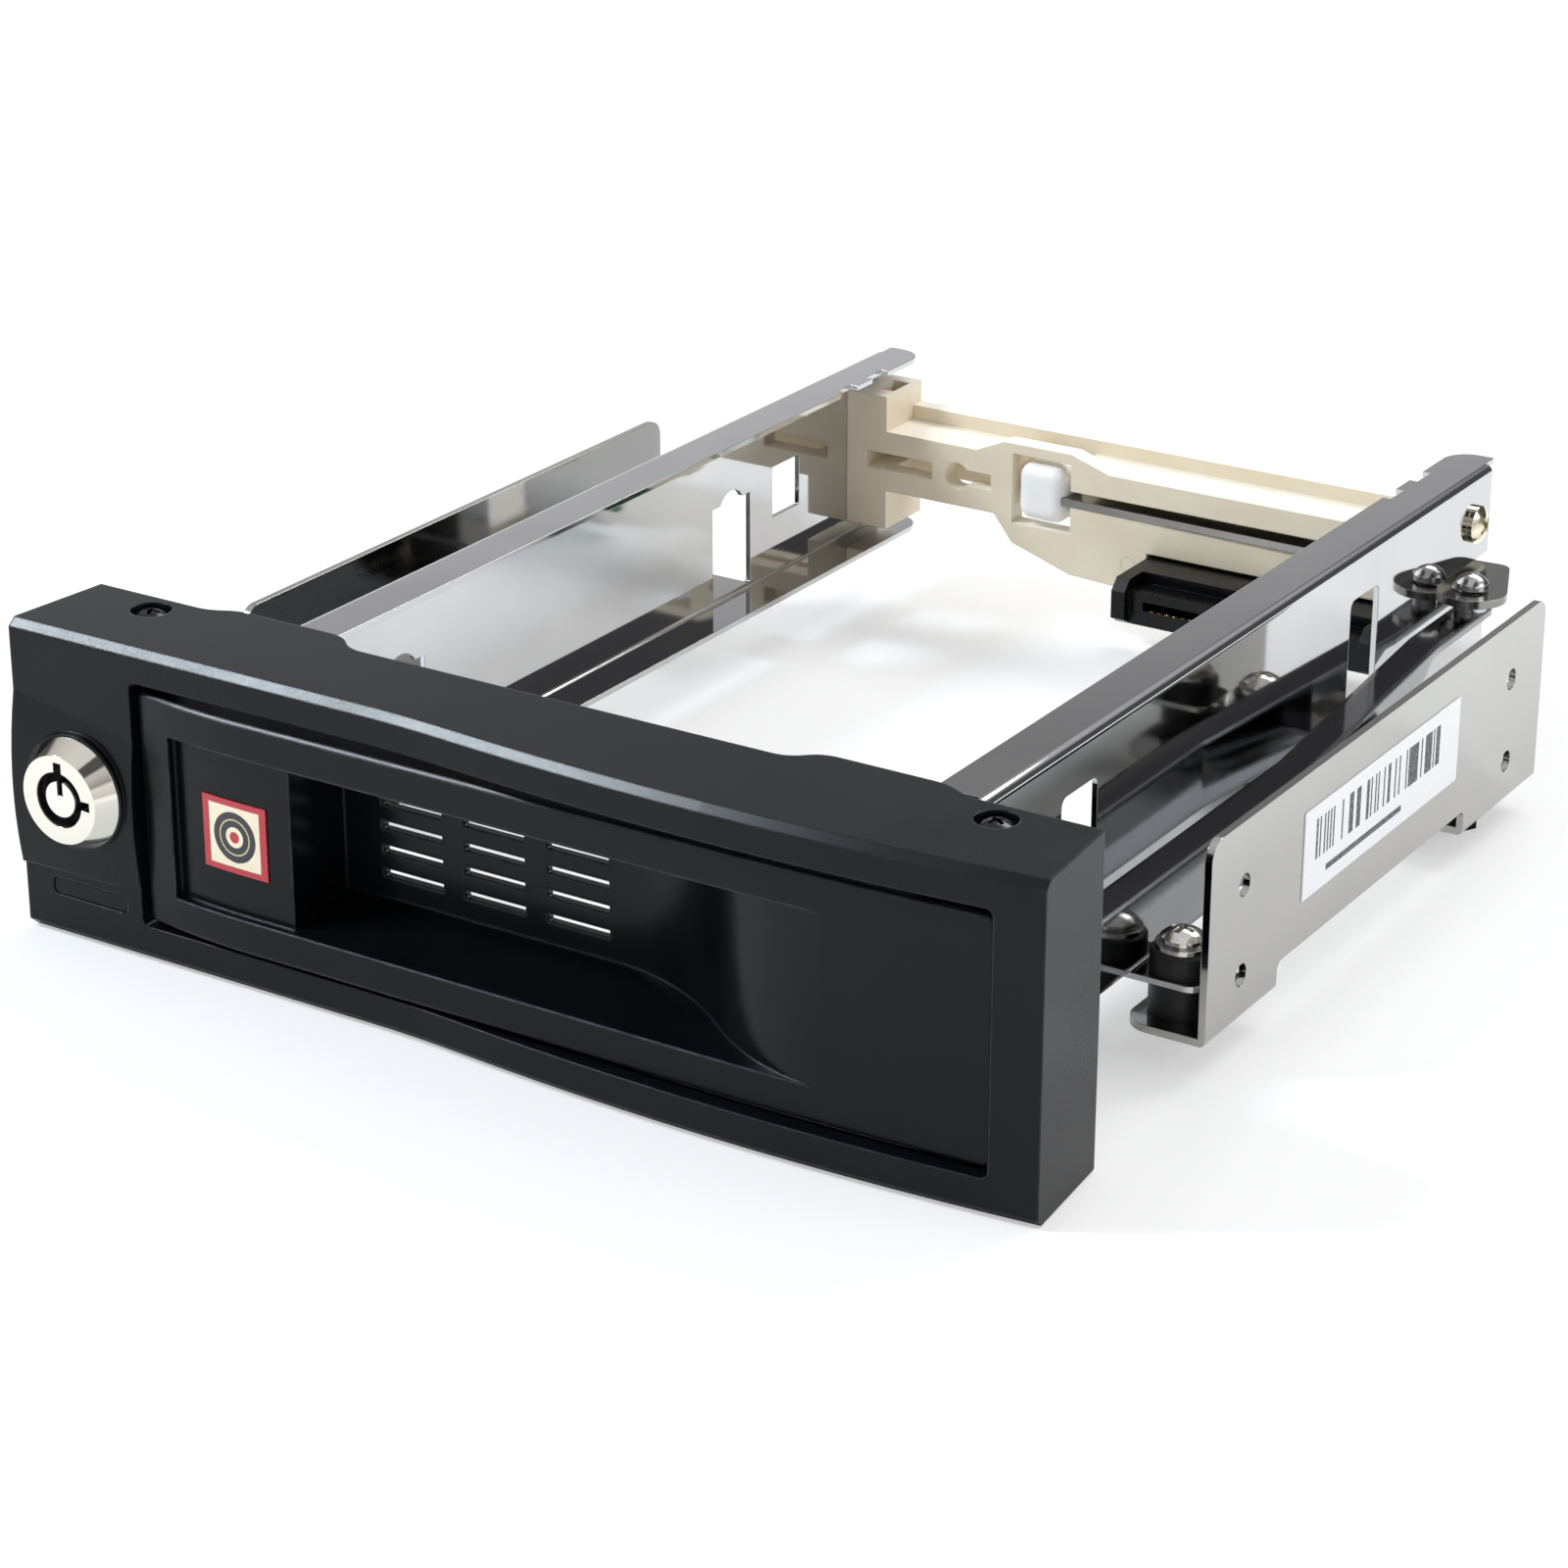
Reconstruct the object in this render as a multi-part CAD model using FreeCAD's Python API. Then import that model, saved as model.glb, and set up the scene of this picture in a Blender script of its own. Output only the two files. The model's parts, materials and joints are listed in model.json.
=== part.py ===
import FreeCAD, Part
import math
import os

# Trayless rack for one bare 3.5 inch drive in a 5.25 inch bay, in millimetres.
# Working frame: x to the right, y to the back from the flat left part of the front, z up from the floor.
# The finished solids are moved along y so that the origin lies under the middle of the whole length.

# Drive that the cage holds
DRIVE_WIDTH = 101.6
DRIVE_HEIGHT = 26.1
DRIVE_LENGTH = 147.0
DRIVE_SIDE_CLEARANCE = 0.2
DRIVE_TOP_CLEARANCE = 0.4
DRIVE_FRONT_GAP = 1.6
DRIVE_REAR_GAP = 1.0

# Cage walls, folded sheet
SHEET = 0.8
BEND_RADIUS = 1.2
BAY_FLOOR = 9.6
FLANGE_WIDTH = 6.5
WALL_FRONT = 9.6
FLOOR_FLANGE_START = 21.1
ROOF_FLANGE_START = 27.1
WALL_REAR_OVERHANG = 1.9
UPRIGHT_SETBACK = 3.1
FLANGE_CORNER = 4.0
WINDOW_WIDTH = 10.2
WINDOW_SHOULDER = 14.9
WINDOW_RISE = 16.6
WINDOW_CROWN = 6.0
TALL_WINDOW_RISE = 20.9
REAR_WINDOW_WIDTH = 7.5
REAR_WINDOW_HEIGHT = 8.0
REAR_WINDOW_SILL = 9.0
REAR_WINDOW_STEP = 15.0
FLANGE_NOTCH_LENGTH = 4.5
FLANGE_NOTCH_DEPTH = 1.2
FLANGE_NOTCH_PITCH = 9.0
EAR_MARGIN = 0.6
EAR_WIDTH = 9.0
EAR_RISE = 0.7
BEZEL_TAB_WIDTH = 4.8
BEZEL_TAB_REACH = 14.0
BEZEL_TAB_RISE = 0.9

# Bezel, moulded shell whose front is flat on the left and bowed on the right
BOW_HEIGHT = 2.4
BOW_START = 54.4
BOW_CREST = 43.4
BOW_SWEEP_SHARE = 0.275
BEZEL_DEPTH = 15.8
BULGE_DEPTH = 17.7
CENTRE_DEPTH = 14.7
BULGE_WIDTH = 13.0
BULGE_INSET = 1.8
BULGE_RUN = 7.0
BEZEL_SKIN = 3.0
BEZEL_WALL = 2.2
BEZEL_OVERLAP = 1.4
SIDE_TAPER = 1.5
TOP_RAIL = 4.5
TOP_CHAMFER = 1.05
BOTTOM_CHAMFER = 0.95
OPENING_BELOW_FLOOR = 4.9
OPENING_ABOVE_ROOF = 1.6
LEFT_STILE = 19.3
RIGHT_STILE = 6.2
OPENING_CORNER = 1.0
BEZEL_SCREW_OUT = 9.5
BEZEL_SCREW_Y = 12.0
BEZEL_SCREW_BOSS = 3.2
BEZEL_SCREW_RADIUS = 1.3
BEZEL_SCREW_HEAD = 2.2
SCREW_POCKET_DEPTH = 1.2
SCREW_POCKET_CLEARANCE = 0.4

# Door, moulded, hinged near its right edge
DOOR_GAP = 0.5
DOOR_TOP_GAP = 1.4
DOOR_BACK = 7.1
DOOR_PROUD = 0.65
DOOR_LEFT_RUN = 17.5
DOOR_LEFT_FALL = 1.6
DOOR_RIGHT_RUN = 39.7
DOOR_RIGHT_FALL = 1.45
DOOR_SKIN = 2.3
DOOR_RIB = 3.0
DOOR_EDGE = 0.4
DOOR_SWING_DEG = 90.0
HINGE_STANDOFF = 4.8
HINGE_PIN_RADIUS = 1.25
HINGE_PIN_CLEARANCE = 0.05
HINGE_KNUCKLE_RADIUS = 3.0
HINGE_BOSS_RADIUS = 2.4
HINGE_PIN_SEAT = 3.4
DOOR_BORDER_LEFT = 5.2
DOOR_BORDER_TOP = 4.7
DOOR_BORDER_BOTTOM = 4.6
STICKER_PANEL_WIDTH = 18.6
STICKER_PANEL_DEPTH = 1.3
STICKER_WIDTH = 10.2
STICKER_HEIGHT = 9.7
STICKER_THICKNESS = 0.2
STICKER_INSET = 4.7
STICKER_RISE = 5.6
POCKET_DEPTH = 11.1
POCKET_WALL = 1.3
POCKET_FLAT = 41.0
POCKET_RAMP = 36.0
POCKET_FLOOR_RISE = 2.0
POCKET_ROOF_FALL = 0.6
VENT_COLUMNS = 3
VENT_ROWS = 4
VENT_LENGTH = 9.2
VENT_HEIGHT = 1.1
VENT_COLUMN_PITCH = 12.4
VENT_ROW_PITCH = 3.2
VENT_LEFT = 6.0
VENT_TOP = 6.2

# Spiral lobe on the door that drives the link bar back as the door opens
BAR_TRAVEL = 5.2
LOBE_BASE = 4.2
LOBE_HEIGHT = 5.0
LOBE_GAP = 0.35
LOBE_HEEL = 2.4
LOBE_RISE = 2.9

# Lock
LOCK_INSET = 10.4
LOCK_HEIGHT = 21.3
LOCK_PAD_RAISE = 1.35
LOCK_PAD_FALL = 0.6
LOCK_PAD_RADIUS = 62.0
LOCK_PAD_MIDDLE = 19.6
LOCK_PAD_BOTTOM = 9.2
LOCK_BASE_RAISE = 1.4
LOCK_BASE_RIM = 0.3
LOCK_COLLAR_RADIUS = 7.5
LOCK_FACE_RADIUS = 5.9
LOCK_PROTRUSION = 2.75
LOCK_BODY_RADIUS = 6.0
LOCK_BODY_CLEARANCE = 0.15
LOCK_BODY_LENGTH = 19.0
LOCK_LIP = 1.0
LOCK_RING_RADIUS = 3.7
LOCK_POST_RADIUS = 2.4
LOCK_POST_SLOT = 0.9
LOCK_BARREL_RADIUS = 4.4
LOCK_BARREL_CLEARANCE = 0.05
LOCK_RING_DEPTH = 3.0
LOCK_NOTCH = 1.3
LOCK_NUT_FLATS = 13.5
LOCK_NUT_HEIGHT = 2.5
LOCK_SEAT_RADIUS = 8.0
LOCK_SEAT_RAISE = 0.4
CAM_LENGTH = 11.4
CAM_WIDTH = 6.5
CAM_SHEET = 1.6
CAM_GAP = 0.4
CAM_STUB_RADIUS = 2.6
CAM_SCREW_RADIUS = 3.4
CAM_SCREW_HEIGHT = 1.8

# Latch tongue on the door's back, which the cam enters
LATCH_SHEET = 1.4
LATCH_INSET = 1.0
LATCH_FOOT = 4.2
LATCH_EDGE = 2.2
LATCH_CLEARANCE = 0.6

# Indicator below the lock
LENS_INSET = 4.5
LENS_LENGTH = 12.4
LENS_HEIGHT = 2.4
LENS_RISE = 5.6
LENS_CORNER = 0.9
LENS_CLEARANCE = 0.1
LENS_FLANGE = 0.8
LENS_FLANGE_DEPTH = 1.0
LENS_SINK = 0.15
LED_RADIUS = 1.5
LED_LENGTH = 3.2
LED_BOARD_THICKNESS = 1.2
LED_BOARD_MARGIN = 1.6

# Link bar, folded channel on the right side
BAR_SHEET = 1.2
BAR_WIDTH = 4.6
BAR_HEIGHT = 9.2
BAR_EAR_GAP = 0.2
BAR_OFFSET = 0.6
BAR_JOG = 4.4
BAR_JOG_RUN = 50.0
BAR_JOG_SETBACK = 19.1
BAR_SWEEP_CLEARANCE = 0.8
BAR_FLANGE_END = 22.0
BAR_FLANGE_TAPER = 14.0
BAR_TAIL = 3.6
BAR_PIN_RADIUS = 1.5
BAR_PIN_COLLAR = 2.3
BAR_PIN_HEAD = 2.1
BAR_PIN_CLEARANCE = 0.35

# Rear frame, ejector and connector
FRAME_PLATE = 3.2
FRAME_DEPTH = 10.5
FRAME_WEB = 2.5
FRAME_SHELF = 2.2
FRAME_SHELF_RISE = 11.8
LEVER_SLOT = 2.5
FRAME_RAIL = 3.7
FRAME_BACK_RISE = 2.2
FRAME_END_WIDTH = 7.1
FRAME_END_BOTTOM = 2.2
FRAME_END_TOP = 2.9
FRAME_NECK_BOTTOM = 8.4
FRAME_SKIRT_BOTTOM = 0.6
FRAME_SLOT_LENGTH = 11.8
FRAME_SLOT_HEIGHT = 2.7
FRAME_SLOT_INSET = 3.5
KEYHOLE_RADIUS = 2.1
KEYHOLE_LENGTH = 6.0
KEYHOLE_SLOT = 2.4
KEYHOLE_GAP = 4.4
POST_SLOT_WIDTH = 2.8
POST_SLOT_DEPTH = 7.4
FRAME_SCREW_RISE = 20.0
FRAME_SCREW_SETBACK = 3.8
FRAME_SCREW_LENGTH = 6.0
PIVOT_INSET = 9.8
PIVOT_SETBACK = 3.5
PIVOT_PIN_RADIUS = 2.0
PIVOT_PIN_CLEARANCE = 0.05
PIVOT_BOSS_RADIUS = 3.4
LEVER_SHEET = 1.2
LEVER_HUB_RADIUS = 4.0
LEVER_END_RADIUS = 5.0
LEVER_TIP_RADIUS = 2.4
LEVER_HEEL_RADIUS = 2.0
LEVER_HEEL_OUT = 2.6
LEVER_HEEL_BACK = 3.0
LEVER_PIN_LEAD = 7.0
LEVER_SLOT_PLAY = 0.3
LEVER_WINDOW_CLEARANCE = 0.7
TIP_X = -16.5
TIP_WIDTH = 8.0
TIP_DEPTH = 6.4
TIP_HEIGHT = 9.0
TIP_ROUND = 2.2
TIP_CLEARANCE = 1.0
TIP_FRONT_GAP = 0.2
CONNECTOR_LENGTH = 42.0
CONNECTOR_SIDE_GAP = 0.5
CONNECTOR_HEIGHT = 6.8
CONNECTOR_DROP = 0.3
CONNECTOR_NOSE = 4.0
CONNECTOR_REACH = 9.0
CONNECTOR_GUIDE = 2.2
CONNECTOR_GUIDE_LEAD = 1.6
CONNECTOR_CLEARANCE = 0.4
TONGUE_SLOT = 1.4
BOARD_THICKNESS = 1.6
BOARD_MARGIN = 7.0
BOARD_SIDE_GAP = 0.8
BOARD_BOTTOM = 3.6
BOARD_TOP_GAP = 0.6
BOARD_SCREW_OUT = 3.4
BOARD_SCREW_RADIUS = 1.2
BOARD_SCREW_HEAD = 2.1
BOARD_SCREW_HEIGHT = 1.3
SOCKET_DEPTH = 7.4
DATA_SOCKET_LENGTH = 14.0
POWER_SOCKET_LENGTH = 22.0
SOCKET_HEIGHT = 6.4
SOCKET_GAP = 4.0
SOCKET_WALL = 1.2
SOCKET_BLADE = 1.2

# Mounting brackets with the standard side holes, and the dampers between them and the cage
BRACKET_SHEET = 1.0
BRACKET_FRONT = 42.8
BRACKET_TOP = 30.4
BRACKET_CORNER = 2.5
BRACKET_BEND = 0.9
BRACKET_GAP = 1.6
FOOT_UNDERSIDE = 3.9
FOOT_INSET_X = 4.9
FOOT_CORNER = 3.5
FOOT_FRONT_LENGTH = 19.0
FOOT_REAR_LENGTH = 24.0
FOOT_NOTCH_RISE = 3.7
SIDE_HOLE_RADIUS = 1.5
SIDE_HOLE_SETBACK = 8.9
BRACKET_TAIL = 10.65
SIDE_HOLE_SPACING_Y = 79.25
SIDE_HOLE_LOW = 10.0
SIDE_HOLE_SPACING_Z = 11.9
EAR_SETBACK = 6.4
EAR_SPACING = 80.2
DAMPER_RADIUS = 4.0
DAMPER_GAP = 0.6
DAMPER_WAIST = 2.9
DAMPER_CAP = 2.9
DAMPER_BORE = 1.65
DAMPER_ROUND = 0.5
DAMPER_SCREW_RADIUS = 1.5
DAMPER_WASHER_RADIUS = 3.4
DAMPER_WASHER_HEIGHT = 0.7
NUT_FLATS = 6.4
LABEL_LENGTH = 46.0
LABEL_HEIGHT = 11.8
LABEL_SETBACK = 24.9
LABEL_BOTTOM = 13.5
LABEL_THICKNESS = 0.15

# Small screws
SCREW_RADIUS = 1.5
SCREW_HEAD_RADIUS = 2.8
SCREW_HEAD_HEIGHT = 1.9
HEAD_RIM = 0.4
SCREW_HOLE_CLEARANCE = 0.1

# Stations worked out from the sizes above
wall_in = DRIVE_WIDTH / 2 + DRIVE_SIDE_CLEARANCE
wall_out = wall_in + SHEET
hinge_x = wall_out + HINGE_STANDOFF
hinge_y = DOOR_BACK
bar_in = hinge_x + BAR_OFFSET
bar_out = bar_in + BAR_WIDTH
damper_x = bar_out + DAMPER_GAP + DAMPER_RADIUS
bracket_in = damper_x + DAMPER_RADIUS + BRACKET_GAP
bracket_out = bracket_in + BRACKET_SHEET
bezel_half = bracket_out + BEZEL_OVERLAP

floor_under = BAY_FLOOR - SHEET
flange_edge = wall_out - FLANGE_WIDTH - SHEET
connector_right = flange_edge - CONNECTOR_SIDE_GAP
connector_left = connector_right - CONNECTOR_LENGTH
roof_under = BAY_FLOOR + DRIVE_HEIGHT + DRIVE_TOP_CLEARANCE
roof_top = roof_under + SHEET
opening_bottom = BAY_FLOOR - OPENING_BELOW_FLOOR
opening_top = roof_under + OPENING_ABOVE_ROOF
opening_left = LEFT_STILE - bezel_half
opening_right = bezel_half - RIGHT_STILE
bezel_height = opening_top + TOP_RAIL
door_left = opening_left + DOOR_GAP
door_right = opening_right - DOOR_GAP
door_bottom = opening_bottom + DOOR_GAP
door_top = opening_top - DOOR_TOP_GAP

drive_front = POCKET_DEPTH + POCKET_WALL + DRIVE_FRONT_GAP
drive_rear = drive_front + DRIVE_LENGTH
frame_front = drive_rear + DRIVE_REAR_GAP
frame_back = frame_front + FRAME_DEPTH
wall_rear = frame_back + WALL_REAR_OVERHANG
front_ear_y = BRACKET_FRONT + EAR_SETBACK
rear_ear_y = front_ear_y + EAR_SPACING
foot_top = FOOT_UNDERSIDE + BRACKET_SHEET
ear_low = floor_under + EAR_RISE
ear_top = ear_low + SHEET
damper_top = ear_top + DAMPER_CAP
bar_low = ear_top + BAR_EAR_GAP
bar_top = bar_low + BAR_HEIGHT
shelf_top = BAY_FLOOR + FRAME_SHELF_RISE
slot_top = shelf_top + LEVER_SLOT
rail_top = slot_top + FRAME_RAIL

tab_low = roof_under + BEZEL_TAB_RISE
tab_top = tab_low + SHEET

bow_start = BOW_START - bezel_half
bow_crest = bezel_half - BOW_CREST
bow_fall_radius = (BOW_CREST ** 2 + BOW_HEIGHT ** 2) / (2 * BOW_HEIGHT)
bow_lead = bow_crest - bow_start
lead_radius = (bow_lead ** 2 + BOW_HEIGHT ** 2) / (2 * BOW_HEIGHT)
sweep_radius = lead_radius * BOW_SWEEP_SHARE
bow_rise_radius = lead_radius - sweep_radius
bow_joint = bow_start + bow_lead * BOW_SWEEP_SHARE
door_flat_left = door_left + DOOR_LEFT_RUN
door_flat_right = door_right - DOOR_RIGHT_RUN
lock_x = LOCK_INSET - bezel_half
lock_base = -LOCK_BASE_RAISE
lock_face = lock_base - LOCK_PROTRUSION
lock_seat = BEZEL_SKIN + LOCK_SEAT_RAISE
lock_rear = lock_base + LOCK_BODY_LENGTH
middle_y = (lock_face + wall_rear) / 2
swing = math.radians(DOOR_SWING_DEG)
reach = bezel_half


def vec(x, y, z):
    return FreeCAD.Vector(x, y, z)


def rise(radius, run):
    """How far an arc has left its tangent after a run along it."""
    return radius - math.sqrt(radius ** 2 - run ** 2)


def front_y(x):
    """Depth of the bezel's front at x: flat, a hollow sweep, then the bow up to its crest and down again."""
    if x <= bow_start:
        return 0.0
    if x <= bow_joint:
        return -rise(sweep_radius, x - bow_start)
    radius = bow_rise_radius if x < bow_crest else bow_fall_radius
    return rise(radius, x - bow_crest) - BOW_HEIGHT


def door_y(x):
    """Depth of the door's front at x: flat in the middle, rolled back towards both ends."""
    if x < door_flat_left:
        run, fall, full = door_flat_left - x, DOOR_LEFT_FALL, DOOR_LEFT_RUN
    else:
        run, fall, full = max(x - door_flat_right, 0), DOOR_RIGHT_FALL, DOOR_RIGHT_RUN
    return rise((full ** 2 + fall ** 2) / (2 * fall), run) - DOOR_PROUD


bezel_front = (front_y, (bow_start, bow_joint, bow_crest))
door_front = (door_y, (door_flat_left, door_flat_right))
tail_radius = math.hypot(door_right - hinge_x, hinge_y - door_y(door_right))


def box(x0, x1, y0, y1, z0, z1):
    return Part.makeBox(x1 - x0, y1 - y0, z1 - z0, vec(x0, y0, z0))


def rod_x(y, z, radius, x0, x1):
    return Part.makeCylinder(radius, x1 - x0, vec(x0, y, z), vec(1, 0, 0))


def rod_y(x, z, radius, y0, y1):
    return Part.makeCylinder(radius, y1 - y0, vec(x, y0, z), vec(0, 1, 0))


def rod_z(x, y, radius, z0, z1):
    return Part.makeCylinder(radius, z1 - z0, vec(x, y, z0))


def line(a, b):
    return Part.LineSegment(a, b).toShape()


def arc(a, middle, b):
    return Part.Arc(a, middle, b).toShape()


def fill(edges, push):
    """Face inside a closed chain of edges, pushed out into a solid."""
    return Part.Face(Part.Wire(edges)).extrude(push)


def polygon(points, push):
    return Part.Face(Part.makePolygon(points + points[:1])).extrude(push)


def plan(points, z0, z1):
    """Solid from an (x, y) outline."""
    return polygon([vec(x, y, z0) for x, y in points], vec(0, 0, z1 - z0))


def side(points, x0, x1):
    """Solid from a (y, z) outline."""
    return polygon([vec(x0, y, z) for y, z in points], vec(x1 - x0, 0, 0))


def face_on(points, y0, y1):
    """Solid from an (x, z) outline seen from the front."""
    return polygon([vec(x, y0, z) for x, z in points], vec(0, y1 - y0, 0))


def edges_along(shape, axis):
    """Straight edges of a shape that run along one axis."""
    found = []
    for edge in shape.Edges:
        if isinstance(edge.Curve, Part.Line) and abs(edge.tangentAt(edge.FirstParameter)[axis]) > 0.999:
            found.append(edge)
    return found


def rounded_box(x0, x1, y0, y1, z0, z1, radius, axis):
    """Box whose edges along one axis are rounded."""
    block = box(x0, x1, y0, y1, z0, z1)
    return block.makeFillet(radius, edges_along(block, axis))


def mirrored(shape):
    return shape.mirror(vec(0, 0, 0), vec(1, 0, 0))


def fused(shapes):
    return shapes[0].fuse(shapes[1:]).removeSplitter()


def s_curve(start, end):
    """Two equal arcs from one point to another, both running along x at their ends."""
    along = end - start
    radius = (along.x ** 2 + along.y ** 2) / (4 * abs(along.y))
    half_turn = math.asin(abs(along.x) / 2 / radius) / 2
    step_x = math.copysign(radius * math.sin(half_turn), along.x)
    step_y = math.copysign(radius * (1 - math.cos(half_turn)), along.y)
    middle = start + along * 0.5
    step = vec(step_x, step_y, 0)
    return [arc(start, start + step, middle), arc(middle, end - step, end)]


def chain(points):
    """Straight edges from point to point."""
    return [line(a, b) for a, b in zip(points, points[1:])]


def front_edges(front, x0, x1, offset, z):
    """Edges along a front from left to right, one for each stretch, moved back by an offset."""
    depth, breaks = front
    stops = [x0] + [x for x in breaks if x0 < x < x1] + [x1]
    edges = []
    for a, b in zip(stops, stops[1:]):
        points = [vec(x, depth(x) + offset, z) for x in (a, (a + b) / 2, b)]
        bend = abs(points[1].y - (points[0].y + points[2].y) / 2)
        edges.append(arc(*points) if bend > 1e-6 else line(points[0], points[2]))
    return edges


def along_front(front, x0, x1, z0, z1, near, far):
    """Slab that follows a front between two depths behind it."""
    depth = front[0]
    edges = front_edges(front, x0, x1, near, z0) + front_edges(front, x0, x1, far, z0)
    for x in (x0, x1):
        edges.append(line(vec(x, depth(x) + near, z0), vec(x, depth(x) + far, z0)))
    return fill(Part.__sortEdges__(edges), vec(0, 0, z1 - z0))


def behind_front(front, x0, x1, z0, z1, near, back_y):
    """Slab from a front to a flat back."""
    depth = front[0]
    right = [vec(x1, depth(x1) + near, z0), vec(x1, back_y, z0)]
    left = [vec(x0, back_y, z0), vec(x0, depth(x0) + near, z0)]
    return fill(front_edges(front, x0, x1, near, z0) + chain(right + left), vec(0, 0, z1 - z0))


def lies_on(edge, front):
    """Whether an edge runs in a front's surface."""
    first, last = edge.ParameterRange
    spots = [edge.valueAt(t) for t in (first, (first + last) / 2, last)]
    return all(abs(spot.y - front[0](spot.x)) < 1e-4 for spot in spots)


def hexagon_y(x, z, flats, y0, y1):
    """Hexagonal prism along y with two flats facing left and right."""
    corner = flats / math.sqrt(3)
    angles = [math.radians(30 + 60 * i) for i in range(6)]
    return face_on([(x + corner * math.cos(a), z + corner * math.sin(a)) for a in angles], y0, y1)


def hexagon_z(x, y, flats, z0, z1):
    corner = flats / math.sqrt(3)
    angles = [math.radians(60 * i) for i in range(6)]
    return plan([(x + corner * math.cos(a), y + corner * math.sin(a)) for a in angles], z0, z1)


def link_outline(start, start_radius, end, end_radius, z0, z1):
    """Bar with round ends of two sizes and tangent sides."""
    along = end - start
    heading = math.atan2(along.y, along.x)
    spread = math.acos((start_radius - end_radius) / along.Length)

    def on(centre, radius, angle):
        return centre + vec(radius * math.cos(angle), radius * math.sin(angle), 0)

    base = vec(0, 0, z0)
    a = on(start, start_radius, heading + spread) + base
    b = on(start, start_radius, heading - spread) + base
    c = on(end, end_radius, heading - spread) + base
    d = on(end, end_radius, heading + spread) + base
    near = arc(a, on(start, start_radius, heading + math.pi) + base, b)
    far = arc(c, on(end, end_radius, heading) + base, d)
    return fill([near, line(b, c), far, line(d, a)], vec(0, 0, z1 - z0))


def domed_head(x, y, z, radius, height):
    """Low round screw head on a flat, its top part of a ball."""
    dome = height * (1 - HEAD_RIM)
    ball = (radius ** 2 + dome ** 2) / (2 * dome)
    blank = rod_z(x, y, radius, z, z + height)
    return blank.common(Part.makeSphere(ball, vec(x, y, z + height - ball)))


def pan_screw_x(x, y, z, length, out):
    """Screw with its head on a wall's face at x, pointing in; out is +1 on the right wall."""
    head = domed_head(0, 0, 0, SCREW_HEAD_RADIUS, SCREW_HEAD_HEIGHT)
    shank = rod_z(0, 0, SCREW_RADIUS, -length, 0)
    screw = fused([head, shank])
    screw.rotate(vec(0, 0, 0), vec(0, 1, 0), 90 * out)
    screw.translate(vec(x, y, z))
    return screw


# Bezel

def bezel_outline():
    """Plan of the bezel: shaped front, tapered sides, and a rear edge that swells over the cage walls."""
    out = wall_out - BULGE_INSET
    inner = out - BULGE_WIDTH
    right = [(bezel_half - SIDE_TAPER, BEZEL_DEPTH), (out + BULGE_RUN, BEZEL_DEPTH), (out, BULGE_DEPTH)]
    right += [(inner, BULGE_DEPTH), (inner - BULGE_RUN, CENTRE_DEPTH)]
    rear = [vec(x, y, 0) for x, y in right]
    rear += [vec(-x, y, 0) for x, y in reversed(right)]
    curved = (1, 3, 5, 7)
    edges = front_edges(bezel_front, -bezel_half, bezel_half, 0, 0)
    edges.append(line(vec(bezel_half, 0, 0), rear[0]))
    for i, (a, b) in enumerate(zip(rear, rear[1:])):
        if i in curved:
            edges += s_curve(a, b)
        else:
            edges.append(line(a, b))
    edges.append(line(rear[-1], vec(-bezel_half, 0, 0)))
    return edges


def front_edges_at(shape, z):
    """Edges of the bezel block along its front at one height."""
    level = [e for e in shape.Edges if abs(e.BoundBox.ZMin - z) < 1e-6 and e.BoundBox.ZLength < 1e-6]
    return [e for e in level if lies_on(e, bezel_front)]


def bezel_block():
    block = fill(bezel_outline(), vec(0, 0, bezel_height))
    block = block.makeChamfer(TOP_CHAMFER, front_edges_at(block, bezel_height))
    return block.makeChamfer(BOTTOM_CHAMFER, front_edges_at(block, 0))


def bezel_hollow():
    """Inside of the shell, open to the back, with sides that taper like the outside."""
    half = bezel_half - BEZEL_WALL
    rear_half = half - SIDE_TAPER
    z = BEZEL_WALL
    right = [(half, front_y(half) + BEZEL_SKIN), (rear_half, BEZEL_DEPTH), (rear_half, reach)]
    left = [(-rear_half, reach), (-rear_half, BEZEL_DEPTH), (-half, BEZEL_SKIN)]
    edges = front_edges(bezel_front, -half, half, BEZEL_SKIN, z)
    edges += chain([vec(x, y, z) for x, y in right + left])
    return fill(edges, vec(0, 0, bezel_height - 2 * BEZEL_WALL))


def lock_pad():
    """Pillow round the lock: part of a large barrel whose swell dies away at its top and to the right."""
    left = -bezel_half
    along = vec(LEFT_STILE, LOCK_PAD_FALL, 0)
    start = vec(left, LOCK_PAD_RADIUS - LOCK_PAD_RAISE, LOCK_PAD_MIDDLE) - along
    barrel = Part.makeCylinder(LOCK_PAD_RADIUS, 3 * along.Length, start, along)
    field = box(left, opening_left, -reach, BEZEL_SKIN / 2, LOCK_PAD_BOTTOM, bezel_height - TOP_CHAMFER)
    return barrel.common(field)


def hinge_bosses():
    low = rod_z(hinge_x, hinge_y, HINGE_BOSS_RADIUS, BEZEL_WALL / 2, opening_bottom)
    high = rod_z(hinge_x, hinge_y, HINGE_BOSS_RADIUS, opening_top, bezel_height - BEZEL_WALL / 2)
    return [low, high]


def hinge_pin_spans():
    """Height spans of the lower and upper hinge pin."""
    low = (opening_bottom - HINGE_PIN_SEAT, door_bottom + DOOR_RIB)
    high = (door_top - DOOR_RIB, opening_top + HINGE_PIN_SEAT)
    return [low, high]


def bezel_screw_x(sign):
    return sign * (wall_out + BEZEL_SCREW_OUT)


def lens_span():
    left = LENS_INSET - bezel_half
    return left, left + LENS_LENGTH


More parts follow.
